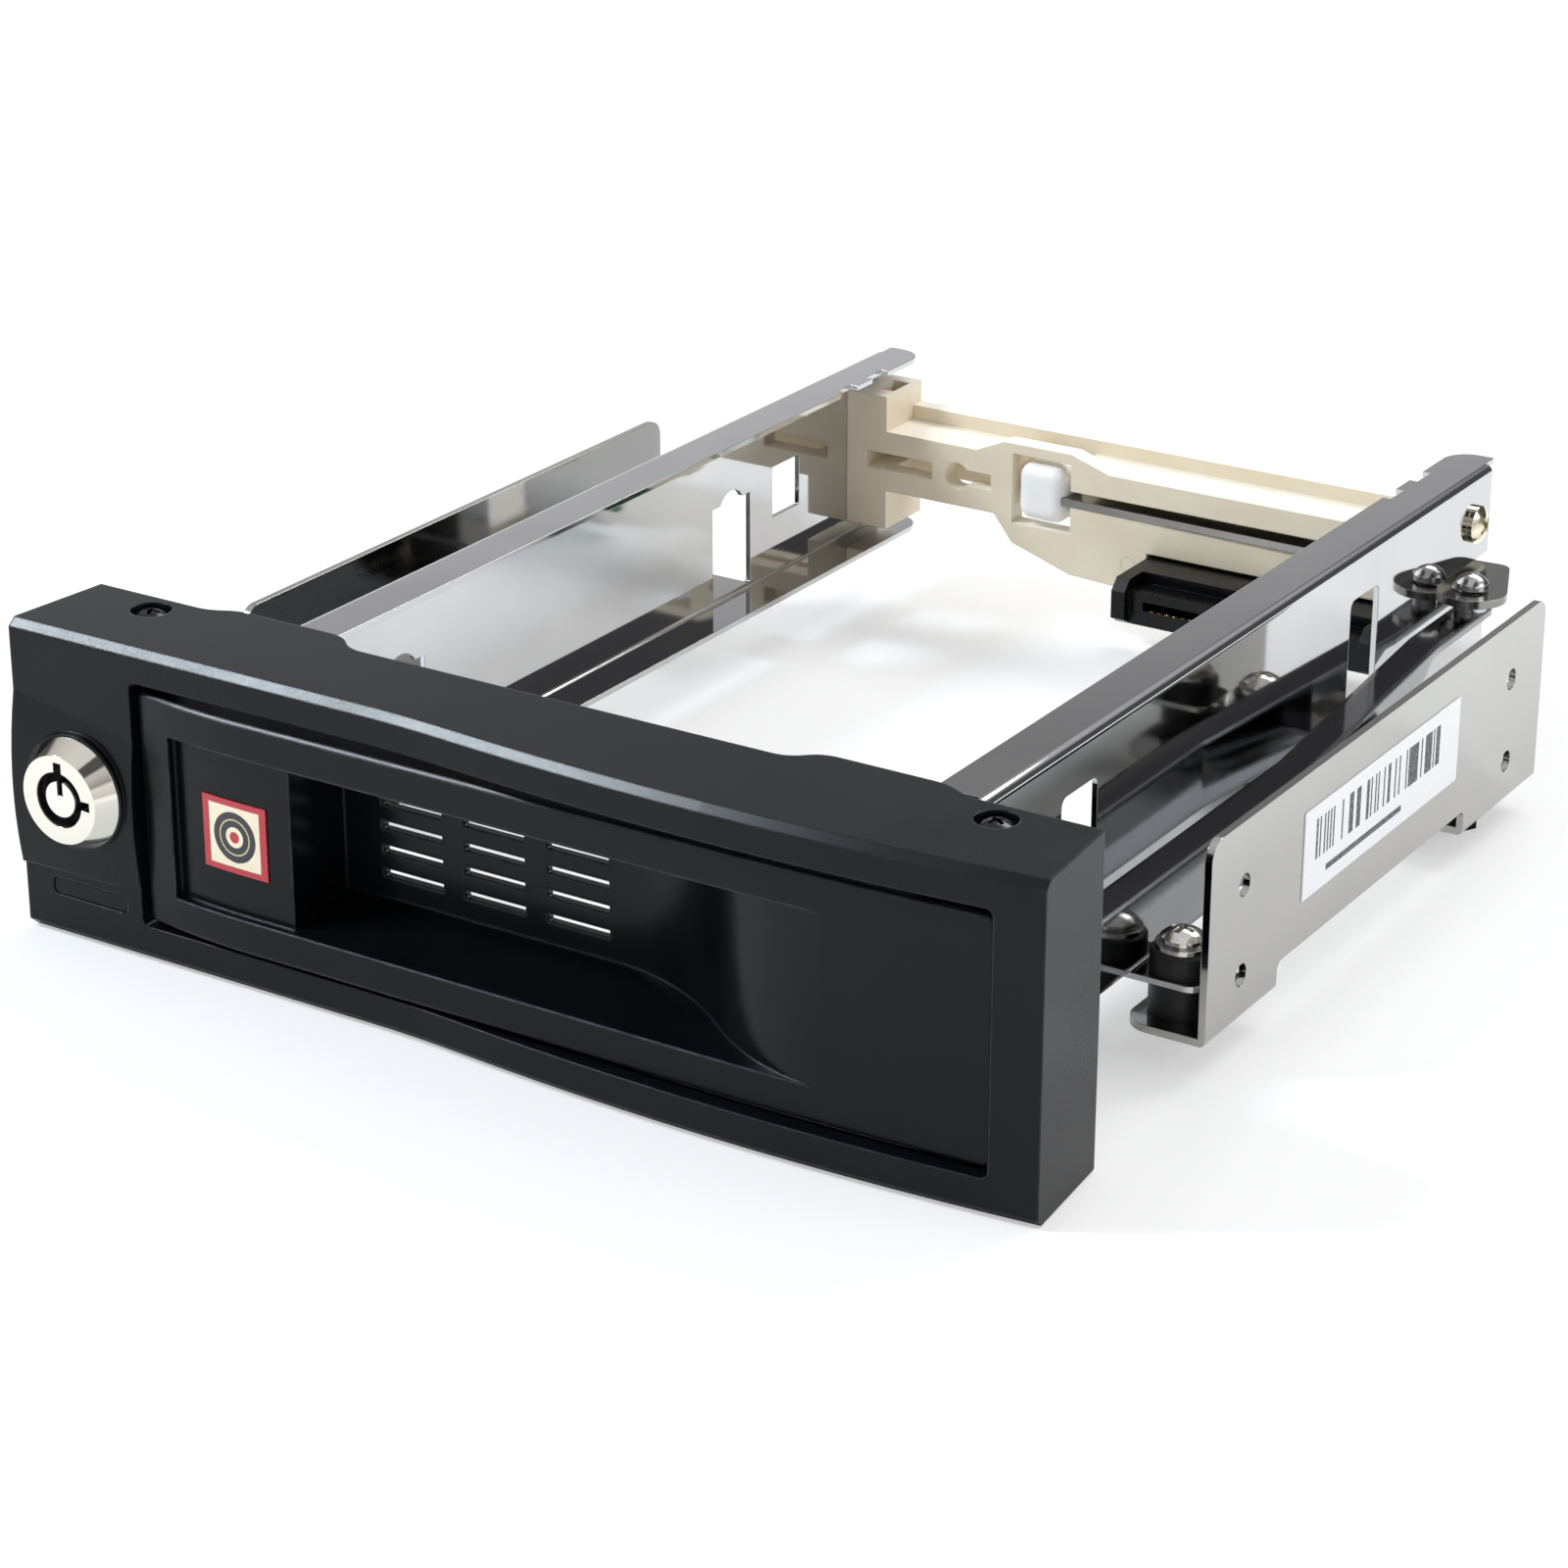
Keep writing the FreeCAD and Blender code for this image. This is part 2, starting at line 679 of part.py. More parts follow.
def bezel():
    shell = bezel_block().cut(bezel_hollow())
    extras = [lock_pad()] + hinge_bosses()
    base_radius = LOCK_COLLAR_RADIUS + LOCK_BASE_RIM
    extras.append(rod_y(lock_x, LOCK_HEIGHT, base_radius, lock_base, BEZEL_SKIN / 2))
    extras.append(rod_y(lock_x, LOCK_HEIGHT, LOCK_SEAT_RADIUS, BEZEL_SKIN / 2, lock_seat))
    for sign in (-1, 1):
        x = bezel_screw_x(sign)
        extras.append(rod_z(x, BEZEL_SCREW_Y, BEZEL_SCREW_BOSS, tab_top, bezel_height - BEZEL_WALL / 2))
    shell = fused([shell] + extras)
    cuts = [rounded_box(opening_left, opening_right, -reach, DOOR_BACK, opening_bottom, opening_top,
                        OPENING_CORNER, 1)]
    cuts.append(rod_z(hinge_x, hinge_y, tail_radius + DOOR_GAP, opening_bottom, opening_top))
    cuts.append(rod_y(lock_x, LOCK_HEIGHT, LOCK_BODY_RADIUS + LOCK_BODY_CLEARANCE, -reach, reach))
    lens_left, lens_right = lens_span()
    cuts.append(rounded_box(lens_left, lens_right, -reach, BEZEL_DEPTH / 2,
                            LENS_RISE, LENS_RISE + LENS_HEIGHT, LENS_CORNER, 1))
    for z0, z1 in hinge_pin_spans():
        cuts.append(rod_z(hinge_x, hinge_y, HINGE_PIN_RADIUS + HINGE_PIN_CLEARANCE, z0, z1))
    for sign in (-1, 1):
        x = bezel_screw_x(sign)
        pocket = BEZEL_SCREW_HEAD + SCREW_POCKET_CLEARANCE
        cuts.append(rod_z(x, BEZEL_SCREW_Y, BEZEL_SCREW_RADIUS + SCREW_HOLE_CLEARANCE, tab_low, reach))
        cuts.append(rod_z(x, BEZEL_SCREW_Y, pocket, bezel_height - SCREW_POCKET_DEPTH, reach))
    return shell.cut(cuts)


def bezel_screws():
    screws = []
    for sign in (-1, 1):
        x = bezel_screw_x(sign)
        seat = bezel_height - SCREW_POCKET_DEPTH
        head = domed_head(x, BEZEL_SCREW_Y, seat, BEZEL_SCREW_HEAD, SCREW_POCKET_DEPTH)
        shank = rod_z(x, BEZEL_SCREW_Y, BEZEL_SCREW_RADIUS, tab_low, seat)
        screws.append(fused([head, shank]))
    return Part.makeCompound(screws)


# Door

def pocket_plan(grow):
    """Plan of the finger pocket: flat back, then an S-shaped ramp out to the front; grow gives its shell."""
    left = pocket_left - grow
    back = POCKET_DEPTH + grow
    flat_end = pocket_left + POCKET_FLAT + grow / 2
    ramp_end = flat_end + POCKET_RAMP
    ramp_y = door_y(ramp_end) + grow
    lead = -reach if grow == 0 else ramp_y
    base = door_bottom
    corners = [vec(left, lead, base), vec(left, back, base), vec(flat_end, back, base)]
    end = vec(ramp_end, ramp_y, base)
    edges = [line(corners[0], corners[1]), line(corners[1], corners[2])]
    edges += s_curve(corners[2], end)
    if grow == 0:
        edges.append(line(end, vec(ramp_end, lead, base)))
        edges.append(line(vec(ramp_end, lead, base), corners[0]))
    else:
        edges.append(line(end, corners[0]))
    return fill(edges, vec(0, 0, door_top - door_bottom))


def pocket_section(grow):
    """Floor and roof of the pocket, drawn from the side, both closing in towards the back."""
    front = -reach
    back = POCKET_DEPTH + grow
    floor_slope = POCKET_FLOOR_RISE / POCKET_DEPTH
    roof_slope = POCKET_ROOF_FALL / POCKET_DEPTH
    low = pocket_bottom - grow
    high = pocket_top + grow
    points = [(front, low), (0, low), (back, low + floor_slope * back), (back, high - roof_slope * back)]
    points += [(0, high), (front, high)]
    return side(points, door_left, door_right)


pocket_left = door_left + DOOR_BORDER_LEFT + STICKER_PANEL_WIDTH
pocket_bottom = door_bottom + DOOR_BORDER_BOTTOM
pocket_top = door_top - DOOR_BORDER_TOP


def vents():
    """Slots in the pocket's back wall."""
    cuts = []
    for column in range(VENT_COLUMNS):
        x = pocket_left + VENT_LEFT + column * VENT_COLUMN_PITCH
        for row in range(VENT_ROWS):
            z = pocket_top - VENT_TOP - row * VENT_ROW_PITCH
            back = POCKET_DEPTH + 2 * POCKET_WALL
            cuts.append(box(x, x + VENT_LENGTH, POCKET_DEPTH - POCKET_WALL, back, z - VENT_HEIGHT, z))
    return cuts


def bar_nose_x():
    return bar_in + BAR_SHEET / 2


def lobe():
    """Spiral lobe whose push on the bar's nose grows evenly with the door's angle."""
    offset = bar_nose_x() - hinge_x
    rate = BAR_TRAVEL / swing
    steps = 8
    z0 = BAY_FLOOR + LOBE_RISE
    points = []
    for i in range(steps + 1):
        turn = swing * i / steps
        lift = LOBE_BASE + rate * turn
        x = offset * math.cos(turn) + lift * math.sin(turn)
        y = -offset * math.sin(turn) + lift * math.cos(turn)
        points.append(vec(hinge_x + x, hinge_y + y, z0))
    curve = Part.BSplineCurve()
    curve.interpolate(points)
    skin = door_y(hinge_x) + DOOR_SKIN / 2
    heel = hinge_x - LOBE_HEEL
    corners = [points[-1], vec(points[-1].x, skin, z0), vec(heel, skin, z0)]
    corners += [vec(heel, hinge_y + LOBE_HEEL / 2, z0), points[0]]
    edges = [curve.toShape()] + chain(corners)
    return fill(edges, vec(0, 0, LOBE_HEIGHT))


def tail_trim():
    """What the door's right edge loses so that it turns inside the opening."""
    block = box(hinge_x, door_right + reach, -reach, reach, 0, bezel_height)
    return block.cut(rod_z(hinge_x, hinge_y, tail_radius, 0, bezel_height))


def door():
    outline = rounded_box(door_left, door_right, -reach, reach, door_bottom, door_top, OPENING_CORNER, 1)
    slab = behind_front(door_front, door_left, door_right, door_bottom, door_top, 0, DOOR_BACK)
    panel = slab.common(outline)
    inside = (door_left + OPENING_CORNER, door_right - OPENING_CORNER)
    rim = []
    for edge in panel.Edges:
        bounds = edge.BoundBox
        upright_inside = bounds.XLength < 1e-6 and inside[0] < bounds.XMin < inside[1]
        if lies_on(edge, door_front) and not upright_inside:
            rim.append(edge)
    panel = panel.makeChamfer(DOOR_EDGE, rim)
    pocket_end = pocket_left + POCKET_FLAT + POCKET_RAMP
    inner_low = door_bottom + DOOR_RIB
    inner_high = door_top - DOOR_RIB
    hollow_left = pocket_end - POCKET_RAMP / 2
    hollow = behind_front(door_front, hollow_left, door_right, inner_low, inner_high, DOOR_SKIN, reach)
    panel_left = door_left + DOOR_BORDER_LEFT
    sticker_back = behind_front(door_front, panel_left, pocket_left - POCKET_WALL, inner_low, inner_high,
                                STICKER_PANEL_DEPTH + DOOR_SKIN, reach)
    panel = panel.cut([hollow, sticker_back])
    shell = pocket_plan(POCKET_WALL).common(pocket_section(POCKET_WALL))
    knuckles = []
    for z0, z1 in ((door_bottom, inner_low), (inner_high, door_top)):
        knuckles.append(rod_z(hinge_x, hinge_y, HINGE_KNUCKLE_RADIUS, z0, z1))
    panel = fused([panel, shell, lobe()] + knuckles)
    recess = along_front(door_front, panel_left, pocket_left, pocket_bottom, pocket_top, -DOOR_BACK,
                         STICKER_PANEL_DEPTH)
    cavity = pocket_plan(0).common(pocket_section(0))
    pins = [rod_z(hinge_x, hinge_y, HINGE_PIN_RADIUS, z0, z1) for z0, z1 in hinge_pin_spans()]
    return panel.cut([recess, cavity, tail_trim()] + vents() + pins)


def door_hinge_pins():
    pins = []
    for z0, z1 in hinge_pin_spans():
        pins.append(rod_z(hinge_x, hinge_y, HINGE_PIN_RADIUS, z0, z1))
    return Part.makeCompound(pins)


def door_sticker():
    left = door_left + DOOR_BORDER_LEFT + STICKER_INSET
    low = pocket_bottom + STICKER_RISE
    near = STICKER_PANEL_DEPTH - STICKER_THICKNESS
    return along_front(door_front, left, left + STICKER_WIDTH, low, low + STICKER_HEIGHT, near,
                       STICKER_PANEL_DEPTH)


def cam_front():
    return lock_rear + CAM_GAP


def door_latch():
    """Angle of sheet on the door's back with a window that the lock's cam turns into."""
    left = door_left + LATCH_INSET
    window_front = cam_front() - LATCH_CLEARANCE
    window_back = cam_front() + CAM_SHEET + LATCH_CLEARANCE
    corner = math.hypot(CAM_LENGTH, CAM_WIDTH / 2)
    entry = left - lock_x
    window_low = LOCK_HEIGHT - CAM_WIDTH / 2 - LATCH_CLEARANCE
    window_high = LOCK_HEIGHT + math.sqrt(corner ** 2 - entry ** 2) + LATCH_CLEARANCE
    low = window_low - LATCH_EDGE
    high = window_high + LATCH_EDGE
    back = window_back + LATCH_EDGE
    tongue = box(left, left + LATCH_SHEET, DOOR_BACK, back, low, high)
    foot = box(left, left + LATCH_FOOT, DOOR_BACK, DOOR_BACK + LATCH_SHEET, low, high)
    window = box(left - reach, left + reach, window_front, window_back, window_low, window_high)
    return fused([tongue, foot]).cut(window)


# Lock

def lock_housing():
    """Tapered bright collar and the body behind it, bored for the barrel."""
    points = [(0, lock_face), (LOCK_FACE_RADIUS, lock_face), (LOCK_COLLAR_RADIUS, lock_base)]
    points += [(LOCK_BODY_RADIUS, lock_base), (LOCK_BODY_RADIUS, lock_rear), (0, lock_rear)]
    outline = [vec(lock_x + r, y, LOCK_HEIGHT) for r, y in points]
    profile = Part.Face(Part.makePolygon(outline + outline[:1]))
    body = profile.revolve(vec(lock_x, 0, LOCK_HEIGHT), vec(0, 1, 0), 360)
    bore = LOCK_BARREL_RADIUS + LOCK_BARREL_CLEARANCE
    cuts = [rod_y(lock_x, LOCK_HEIGHT, bore, lock_face + LOCK_LIP, reach)]
    cuts.append(rod_y(lock_x, LOCK_HEIGHT, LOCK_RING_RADIUS, lock_face - LOCK_LIP, lock_rear))
    half = LOCK_NOTCH / 2
    for angle in (0, 90):
        notch = box(lock_x - half, lock_x + half, lock_face - LOCK_LIP, lock_face + LOCK_RING_DEPTH,
                    LOCK_HEIGHT, LOCK_HEIGHT + LOCK_RING_RADIUS + LOCK_NOTCH)
        notch.rotate(vec(lock_x, 0, LOCK_HEIGHT), vec(0, 1, 0), angle)
        cuts.append(notch)
    return body.cut(cuts)


def lock_barrel():
    """Turning plug with the centre post in front and the cam's stub behind."""
    ring = lock_face + LOCK_RING_DEPTH
    plug = rod_y(lock_x, LOCK_HEIGHT, LOCK_BARREL_RADIUS, ring, lock_rear)
    post = rod_y(lock_x, LOCK_HEIGHT, LOCK_POST_RADIUS, lock_face + LOCK_LIP / 4, ring)
    stub = rod_y(lock_x, LOCK_HEIGHT, CAM_STUB_RADIUS, lock_rear, cam_front() + CAM_SHEET)
    collar = rod_y(lock_x, LOCK_HEIGHT, LOCK_BARREL_RADIUS, lock_rear, cam_front())
    half = LOCK_POST_SLOT / 2
    slot = box(lock_x - half, lock_x + half, lock_face, ring, LOCK_HEIGHT + half,
               LOCK_HEIGHT + LOCK_RING_RADIUS)
    return fused([plug, post, stub, collar]).cut(slot)


def lock_nut():
    nut = hexagon_y(lock_x, LOCK_HEIGHT, LOCK_NUT_FLATS, lock_seat, lock_seat + LOCK_NUT_HEIGHT)
    return nut.cut(rod_y(lock_x, LOCK_HEIGHT, LOCK_BODY_RADIUS, 0, reach))


def lock_cam():
    """Flat cam that stands up when the door is free."""
    y0 = cam_front()
    half = CAM_WIDTH / 2
    arm = rounded_box(lock_x - half, lock_x + half, y0, y0 + CAM_SHEET, LOCK_HEIGHT - half,
                      LOCK_HEIGHT + CAM_LENGTH, CAM_SHEET / 2, 1)
    return arm.cut(rod_y(lock_x, LOCK_HEIGHT, CAM_STUB_RADIUS, 0, reach))


def lock_cam_screw():
    head = domed_head(0, 0, 0, CAM_SCREW_RADIUS, CAM_SCREW_HEIGHT)
    head.rotate(vec(0, 0, 0), vec(1, 0, 0), -90)
    head.translate(vec(lock_x, cam_front() + CAM_SHEET, LOCK_HEIGHT))
    return head


# Indicator

def indicator_lens():
    left, right = lens_span()
    low = LENS_RISE
    gap = LENS_CLEARANCE
    bar = rounded_box(left + gap, right - gap, LENS_SINK, BEZEL_SKIN, low + gap, low + LENS_HEIGHT - gap,
                      LENS_CORNER - gap, 1)
    flange = box(left - LENS_FLANGE / 2, right + LENS_FLANGE, BEZEL_SKIN, lens_back, low - LENS_FLANGE,
                 low + LENS_HEIGHT + LENS_FLANGE)
    return fused([bar, flange])


lens_back = BEZEL_SKIN + LENS_FLANGE_DEPTH
led_back = lens_back + LED_LENGTH


def indicator_light():
    left, right = lens_span()
    x = (left + right) / 2
    z = LENS_RISE + LENS_HEIGHT / 2
    return rod_y(x, z, LED_RADIUS, lens_back, led_back)


def indicator_board():
    left, right = lens_span()
    top = LENS_RISE + LENS_HEIGHT + LED_BOARD_MARGIN
    return box(left, right, led_back, led_back + LED_BOARD_THICKNESS, BEZEL_WALL, top)


# Cage walls

def wall_section():
    """Folded section of the right wall: flange in at the floor, upright, flange in at the roof."""
    inner_edge = flange_edge
    r_out = BEND_RADIUS
    r_in = BEND_RADIUS - SHEET
    turn = math.sqrt(0.5)

    def bend(corner_z, up, radius):
        """Arc round a fold, centred on the same point for both faces of the sheet."""
        centre = vec(wall_out - BEND_RADIUS, 0, corner_z)
        return centre + vec(radius * turn, 0, -up * radius * turn)

    low = floor_under + BEND_RADIUS
    high = roof_top - BEND_RADIUS
    flat_x = wall_out - BEND_RADIUS
    outer = [vec(inner_edge, 0, floor_under), vec(flat_x, 0, floor_under)]
    upright = [vec(wall_out, 0, low), vec(wall_out, 0, high)]
    roof = [vec(flat_x, 0, roof_top), vec(inner_edge, 0, roof_top)]
    roof_inner = [vec(inner_edge, 0, roof_under), vec(flat_x, 0, roof_under)]
    inner = [vec(wall_in, 0, high), vec(wall_in, 0, low)]
    floor_inner = [vec(flat_x, 0, BAY_FLOOR), vec(inner_edge, 0, BAY_FLOOR)]
    edges = [line(*outer), arc(outer[1], bend(low, 1, r_out), upright[0]), line(*upright)]
    edges += [arc(upright[1], bend(high, -1, r_out), roof[0]), line(*roof), line(roof[1], roof_inner[0])]
    edges += [line(*roof_inner), arc(roof_inner[1], bend(high, -1, r_in), inner[0]), line(*inner)]
    edges += [arc(inner[1], bend(low, 1, r_in), floor_inner[0]), line(*floor_inner)]
    edges.append(line(floor_inner[1], outer[0]))
    return edges


def crowned_window(centre_y):
    """Window left by the tongue that is folded out as an ear, with shoulders and a round crown."""
    half = WINDOW_WIDTH / 2
    crown = WINDOW_CROWN / 2
    shoulder = BAY_FLOOR + WINDOW_SHOULDER
    x = wall_in - SHEET
    rear = [(half, ear_top), (half, shoulder), (crown, shoulder)]
    front = [(-y, z) for y, z in reversed(rear)]
    points = [vec(x, centre_y + y, z) for y, z in front + rear]
    crest = vec(x, centre_y, BAY_FLOOR + WINDOW_RISE)
    return fill(chain(points) + [arc(points[-1], crest, points[0])], vec(3 * SHEET, 0, 0))


def tall_window(centre_y):
    """Window on the link bar's side, as high as its tongue is long."""
    half = EAR_WIDTH / 2
    near = wall_in - SHEET
    far = wall_out + SHEET
    opening = rounded_box(near, far, centre_y - half, centre_y + half, ear_top - BEND_RADIUS,
                          BAY_FLOOR + TALL_WINDOW_RISE, BEND_RADIUS, 0)
    return opening.common(box(near, far, 0, wall_rear, ear_top, roof_under))


def rear_window():
    """Square window behind the rear ear of the wall that has no lever."""
    y = rear_ear_y + REAR_WINDOW_STEP
    half = REAR_WINDOW_WIDTH / 2
    sill = BAY_FLOOR + REAR_WINDOW_SILL
    return box(wall_in - SHEET, wall_out + SHEET, y - half, y + half, sill, sill + REAR_WINDOW_HEIGHT)


def lever_cutout():
    """Opening to the rear in the wall that the lever's plate sweeps through."""
    return box(wall_in - SHEET, wall_out + SHEET, lever_window_front(), wall_rear,
               shelf_top - SHEET, slot_top)


def ear(centre_y):
    """Tongue folded out just above the bay's floor, with a hole for a damper."""
    half = EAR_WIDTH / 2
    end = damper_x + DAMPER_RADIUS + EAR_MARGIN
    tongue = rounded_box(wall_in - half, end, centre_y - half, centre_y + half, ear_low, ear_top,
                         half / 2, 2)
    tongue = tongue.common(box(wall_in, end, 0, wall_rear, 0, roof_top))
    return tongue.cut(rod_z(damper_x, centre_y, DAMPER_WAIST, 0, roof_top))


def frame_screw_place():
    return frame_front + FRAME_SCREW_SETBACK, BAY_FLOOR + FRAME_SCREW_RISE


def wall(lever_side):
    sheet = fill(wall_section(), vec(0, wall_rear - WALL_FRONT, 0))
    sheet.translate(vec(0, WALL_FRONT, 0))
    inner_edge = flange_edge
    near = wall_out - BEND_RADIUS
    trims = [box(inner_edge, near, 0, FLOOR_FLANGE_START, floor_under, BAY_FLOOR)]
    trims.append(box(inner_edge, near, 0, ROOF_FLANGE_START, roof_under, roof_top))
    for z0, z1 in ((floor_under, BAY_FLOOR), (roof_under, roof_top)):
        round_x = inner_edge + FLANGE_CORNER
        round_y = wall_rear - FLANGE_CORNER
        corner = box(inner_edge, round_x, round_y, wall_rear, z0, z1)
        trims.append(corner.cut(rod_z(round_x, round_y, FLANGE_CORNER, z0, z1)))
    for i in range(2):
        y = rear_ear_y + WINDOW_WIDTH * 2 + i * FLANGE_NOTCH_PITCH
        trims.append(box(inner_edge, inner_edge + FLANGE_NOTCH_DEPTH, y, y + FLANGE_NOTCH_LENGTH,
                         roof_under, roof_top))
    trims.append(box(near, wall_out + SHEET, wall_rear - UPRIGHT_SETBACK, wall_rear, floor_under, roof_top))
    if lever_side:
        trims += [tall_window(front_ear_y), tall_window(rear_ear_y), lever_cutout()]
    else:
        trims += [crowned_window(front_ear_y), crowned_window(rear_ear_y), rear_window()]
    screw_y, screw_z = frame_screw_place()
    screw_hole = SCREW_RADIUS + SCREW_HOLE_CLEARANCE
    trims.append(rod_x(screw_y, screw_z, screw_hole, wall_in - SHEET, wall_out + SHEET))
    sheet = sheet.cut(trims)
    tab_front = BEZEL_SCREW_Y - BEZEL_TAB_WIDTH / 2
    tab_back = tab_front + BEZEL_TAB_WIDTH
    riser = box(wall_in, wall_out, tab_front, tab_back, roof_under - BEND_RADIUS, tab_top)
    tab = box(wall_in, wall_out + BEZEL_TAB_REACH, tab_front, tab_back, tab_low, tab_top)
    tab = tab.cut(rod_z(bezel_screw_x(1), BEZEL_SCREW_Y, BEZEL_SCREW_RADIUS, 0, bezel_height))
    return fused([sheet, riser, tab, ear(front_ear_y), ear(rear_ear_y)])


# Link bar

def joggled(x0, x1, y0, y1, z0, z1):
    """Strip along the bar that steps in towards the wall on its way back."""
    jog_end = bar_end() - BAR_JOG_SETBACK
    jog_start = jog_end - BAR_JOG_RUN
    stops = [(x, y) for x, y in ((0, jog_start), (-BAR_JOG, jog_end)) if y < y1]
    last = BAR_JOG * min(max((y1 - jog_start) / BAR_JOG_RUN, 0), 1)
    outer = [(x1, y0)] + [(x1 + x, y) for x, y in stops] + [(x1 - last, y1)]
    inner = [(x0 - last, y1)] + [(x0 + x, y) for x, y in reversed(stops)] + [(x0, y0)]
    return plan(outer + inner, z0, z1)


def bar_pin_place():
    x = bar_in - BAR_JOG + BAR_WIDTH / 2
    return vec(x, pivot_place().y - LEVER_PIN_LEAD, 0)


def bar_end():
    return bar_pin_place().y + BAR_TAIL


def link_bar():
    """Folded channel with a bare nose in front and a flat tail at the rear."""
    nose = hinge_y + LOBE_BASE + LOBE_GAP
    start = hinge_y + tail_radius + BAR_SWEEP_CLEARANCE
    end = bar_end()
    flange_end = end - BAR_FLANGE_END
    web = joggled(bar_in, bar_out, start, end, bar_top - BAR_SHEET, bar_top)
    inner = joggled(bar_in, bar_in + BAR_SHEET, nose + BAR_SHEET / 2, flange_end, bar_low, bar_top)
    outer = joggled(bar_out - BAR_SHEET, bar_out, start, flange_end, bar_low, bar_top)
    tip = rod_z(bar_nose_x(), nose + BAR_SHEET / 2, BAR_SHEET / 2, bar_low, bar_top)
    taper_start = flange_end - BAR_FLANGE_TAPER
    slope = [(flange_end, bar_top - BAR_SHEET), (flange_end, bar_low), (taper_start, bar_low)]
    taper = side(slope, wall_out, bracket_in)
    pin = bar_pin_place()
    bar = fused([web, inner, outer, tip]).cut([taper, rod_z(pin.x, pin.y, BAR_PIN_RADIUS, 0, reach)])
    tail = [e for e in edges_along(bar, 2) if abs(e.BoundBox.YMin - end) < 1e-6]
    return bar.makeFillet(BAR_WIDTH / 3, tail)


def link_pin():
    """Shouldered pin riveted in the bar's tail, with a domed head above the lever."""
    at = bar_pin_place()
    head_z = shelf_top + LEVER_SHEET + BAR_PIN_CLEARANCE
    shank = rod_z(at.x, at.y, BAR_PIN_RADIUS, bar_top - BAR_SHEET, head_z)
    collar = rod_z(at.x, at.y, BAR_PIN_COLLAR, bar_top, shelf_top - BAR_PIN_CLEARANCE)
    head = domed_head(at.x, at.y, head_z, BAR_PIN_COLLAR, BAR_PIN_HEAD)
    return fused([shank, collar, head])


# Ejector

def pivot_place():
    return vec(wall_in - PIVOT_INSET, frame_front + PIVOT_SETBACK, 0)


def lever_window_front():
    """Front end of the wall's opening for the lever's short arm at rest."""
    pivot = pivot_place()
    slope = math.atan2(LEVER_PIN_LEAD, bar_pin_place().x - pivot.x)
    edge = pivot.y - (wall_out - pivot.x) * math.tan(slope) - LEVER_END_RADIUS / math.cos(slope)
    return edge - LEVER_WINDOW_CLEARANCE


def tip_centre():
    return vec(TIP_X, drive_rear + TIP_FRONT_GAP + TIP_DEPTH / 2, 0)


def ejector_lever():
    """Long arm to the tip, and a plate outside the wall that the bar's pin pushes."""
    z0 = shelf_top
    z1 = shelf_top + LEVER_SHEET
    pivot = pivot_place()
    pin = bar_pin_place()
    heel = vec(wall_out + LEVER_HEEL_OUT, pivot.y + LEVER_HEEL_BACK, 0)
    long_arm = link_outline(pivot, LEVER_HUB_RADIUS, tip_centre(), LEVER_TIP_RADIUS, z0, z1)
    short_arm = link_outline(pivot, LEVER_HUB_RADIUS, pin, LEVER_END_RADIUS, z0, z1)
    heel_arm = link_outline(pivot, LEVER_HUB_RADIUS, heel, LEVER_HEEL_RADIUS, z0, z1)
    heel_side = link_outline(pin, LEVER_END_RADIUS, heel, LEVER_HEEL_RADIUS, z0, z1)
    plate = plan([(pivot.x, pivot.y), (pin.x, pin.y), (heel.x, heel.y)], z0, z1)
    radius = BAR_PIN_RADIUS + BAR_PIN_CLEARANCE
    toward = pin - pivot
    shortest = math.hypot(toward.x, LEVER_PIN_LEAD - BAR_TRAVEL)
    toward.normalize()
    slot_in = pivot + toward * (shortest - LEVER_SLOT_PLAY)
    slot = link_outline(slot_in, radius, pin + toward * LEVER_SLOT_PLAY, radius, z0, z1)
    hole = rod_z(pivot.x, pivot.y, PIVOT_PIN_RADIUS + PIVOT_PIN_CLEARANCE, z0, z1)
    return fused([long_arm, short_arm, heel_arm, heel_side, plate]).cut([slot, hole])


def ejector_tip():
    """Nylon shoe pushed over the lever's end."""
    centre = tip_centre()
    half = TIP_WIDTH / 2
    middle = shelf_top + LEVER_SHEET
    low = middle - TIP_HEIGHT / 2
    front = centre.y - TIP_DEPTH / 2
    block = box(TIP_X - half, TIP_X + half, front, front + TIP_DEPTH, low, low + TIP_HEIGHT)
    edges = [e for e in block.Edges if e.BoundBox.YMin < front + TIP_DEPTH / 2]
    return block.makeFillet(TIP_ROUND, edges).cut(ejector_lever())


def ejector_pivot_pin():
    at = pivot_place()
    return rod_z(at.x, at.y, PIVOT_PIN_RADIUS, shelf_top - FRAME_SHELF, rail_top)


# Rear frame

def frame_face():
    """Outline of the rear frame seen from the drive: end post, neck, swell round the tip, rail and skirt."""
    window_left, window_right, window_low, window_high = tip_window()
    rim = FRAME_PLATE / 2
    end_left = -wall_in
    post = end_left + FRAME_END_WIDTH
    post_top = roof_under - FRAME_END_TOP
    post_low = BAY_FLOOR + FRAME_END_BOTTOM
    neck_low = BAY_FLOOR + FRAME_NECK_BOTTOM
    skirt = BAY_FLOOR + FRAME_SKIRT_BOTTOM
    swell = window_high + rim
    slope = 2 * rim
    points = [(end_left, post_top), (post, post_top), (post, rail_top), (window_left - 2 * slope, rail_top)]
    points += [(window_left - rim, swell), (window_right, swell), (window_right + 2 * slope, rail_top)]
    points += [(wall_in, rail_top), (wall_in, skirt), (connector_left - slope, skirt)]
    points += [(window_right, window_low - 2 * slope), (window_left, window_low - slope)]
    points += [(window_left - 2 * rim, neck_low), (post, neck_low), (post, post_low), (end_left, post_low)]
    return face_on(points, frame_front, frame_front + FRAME_PLATE)


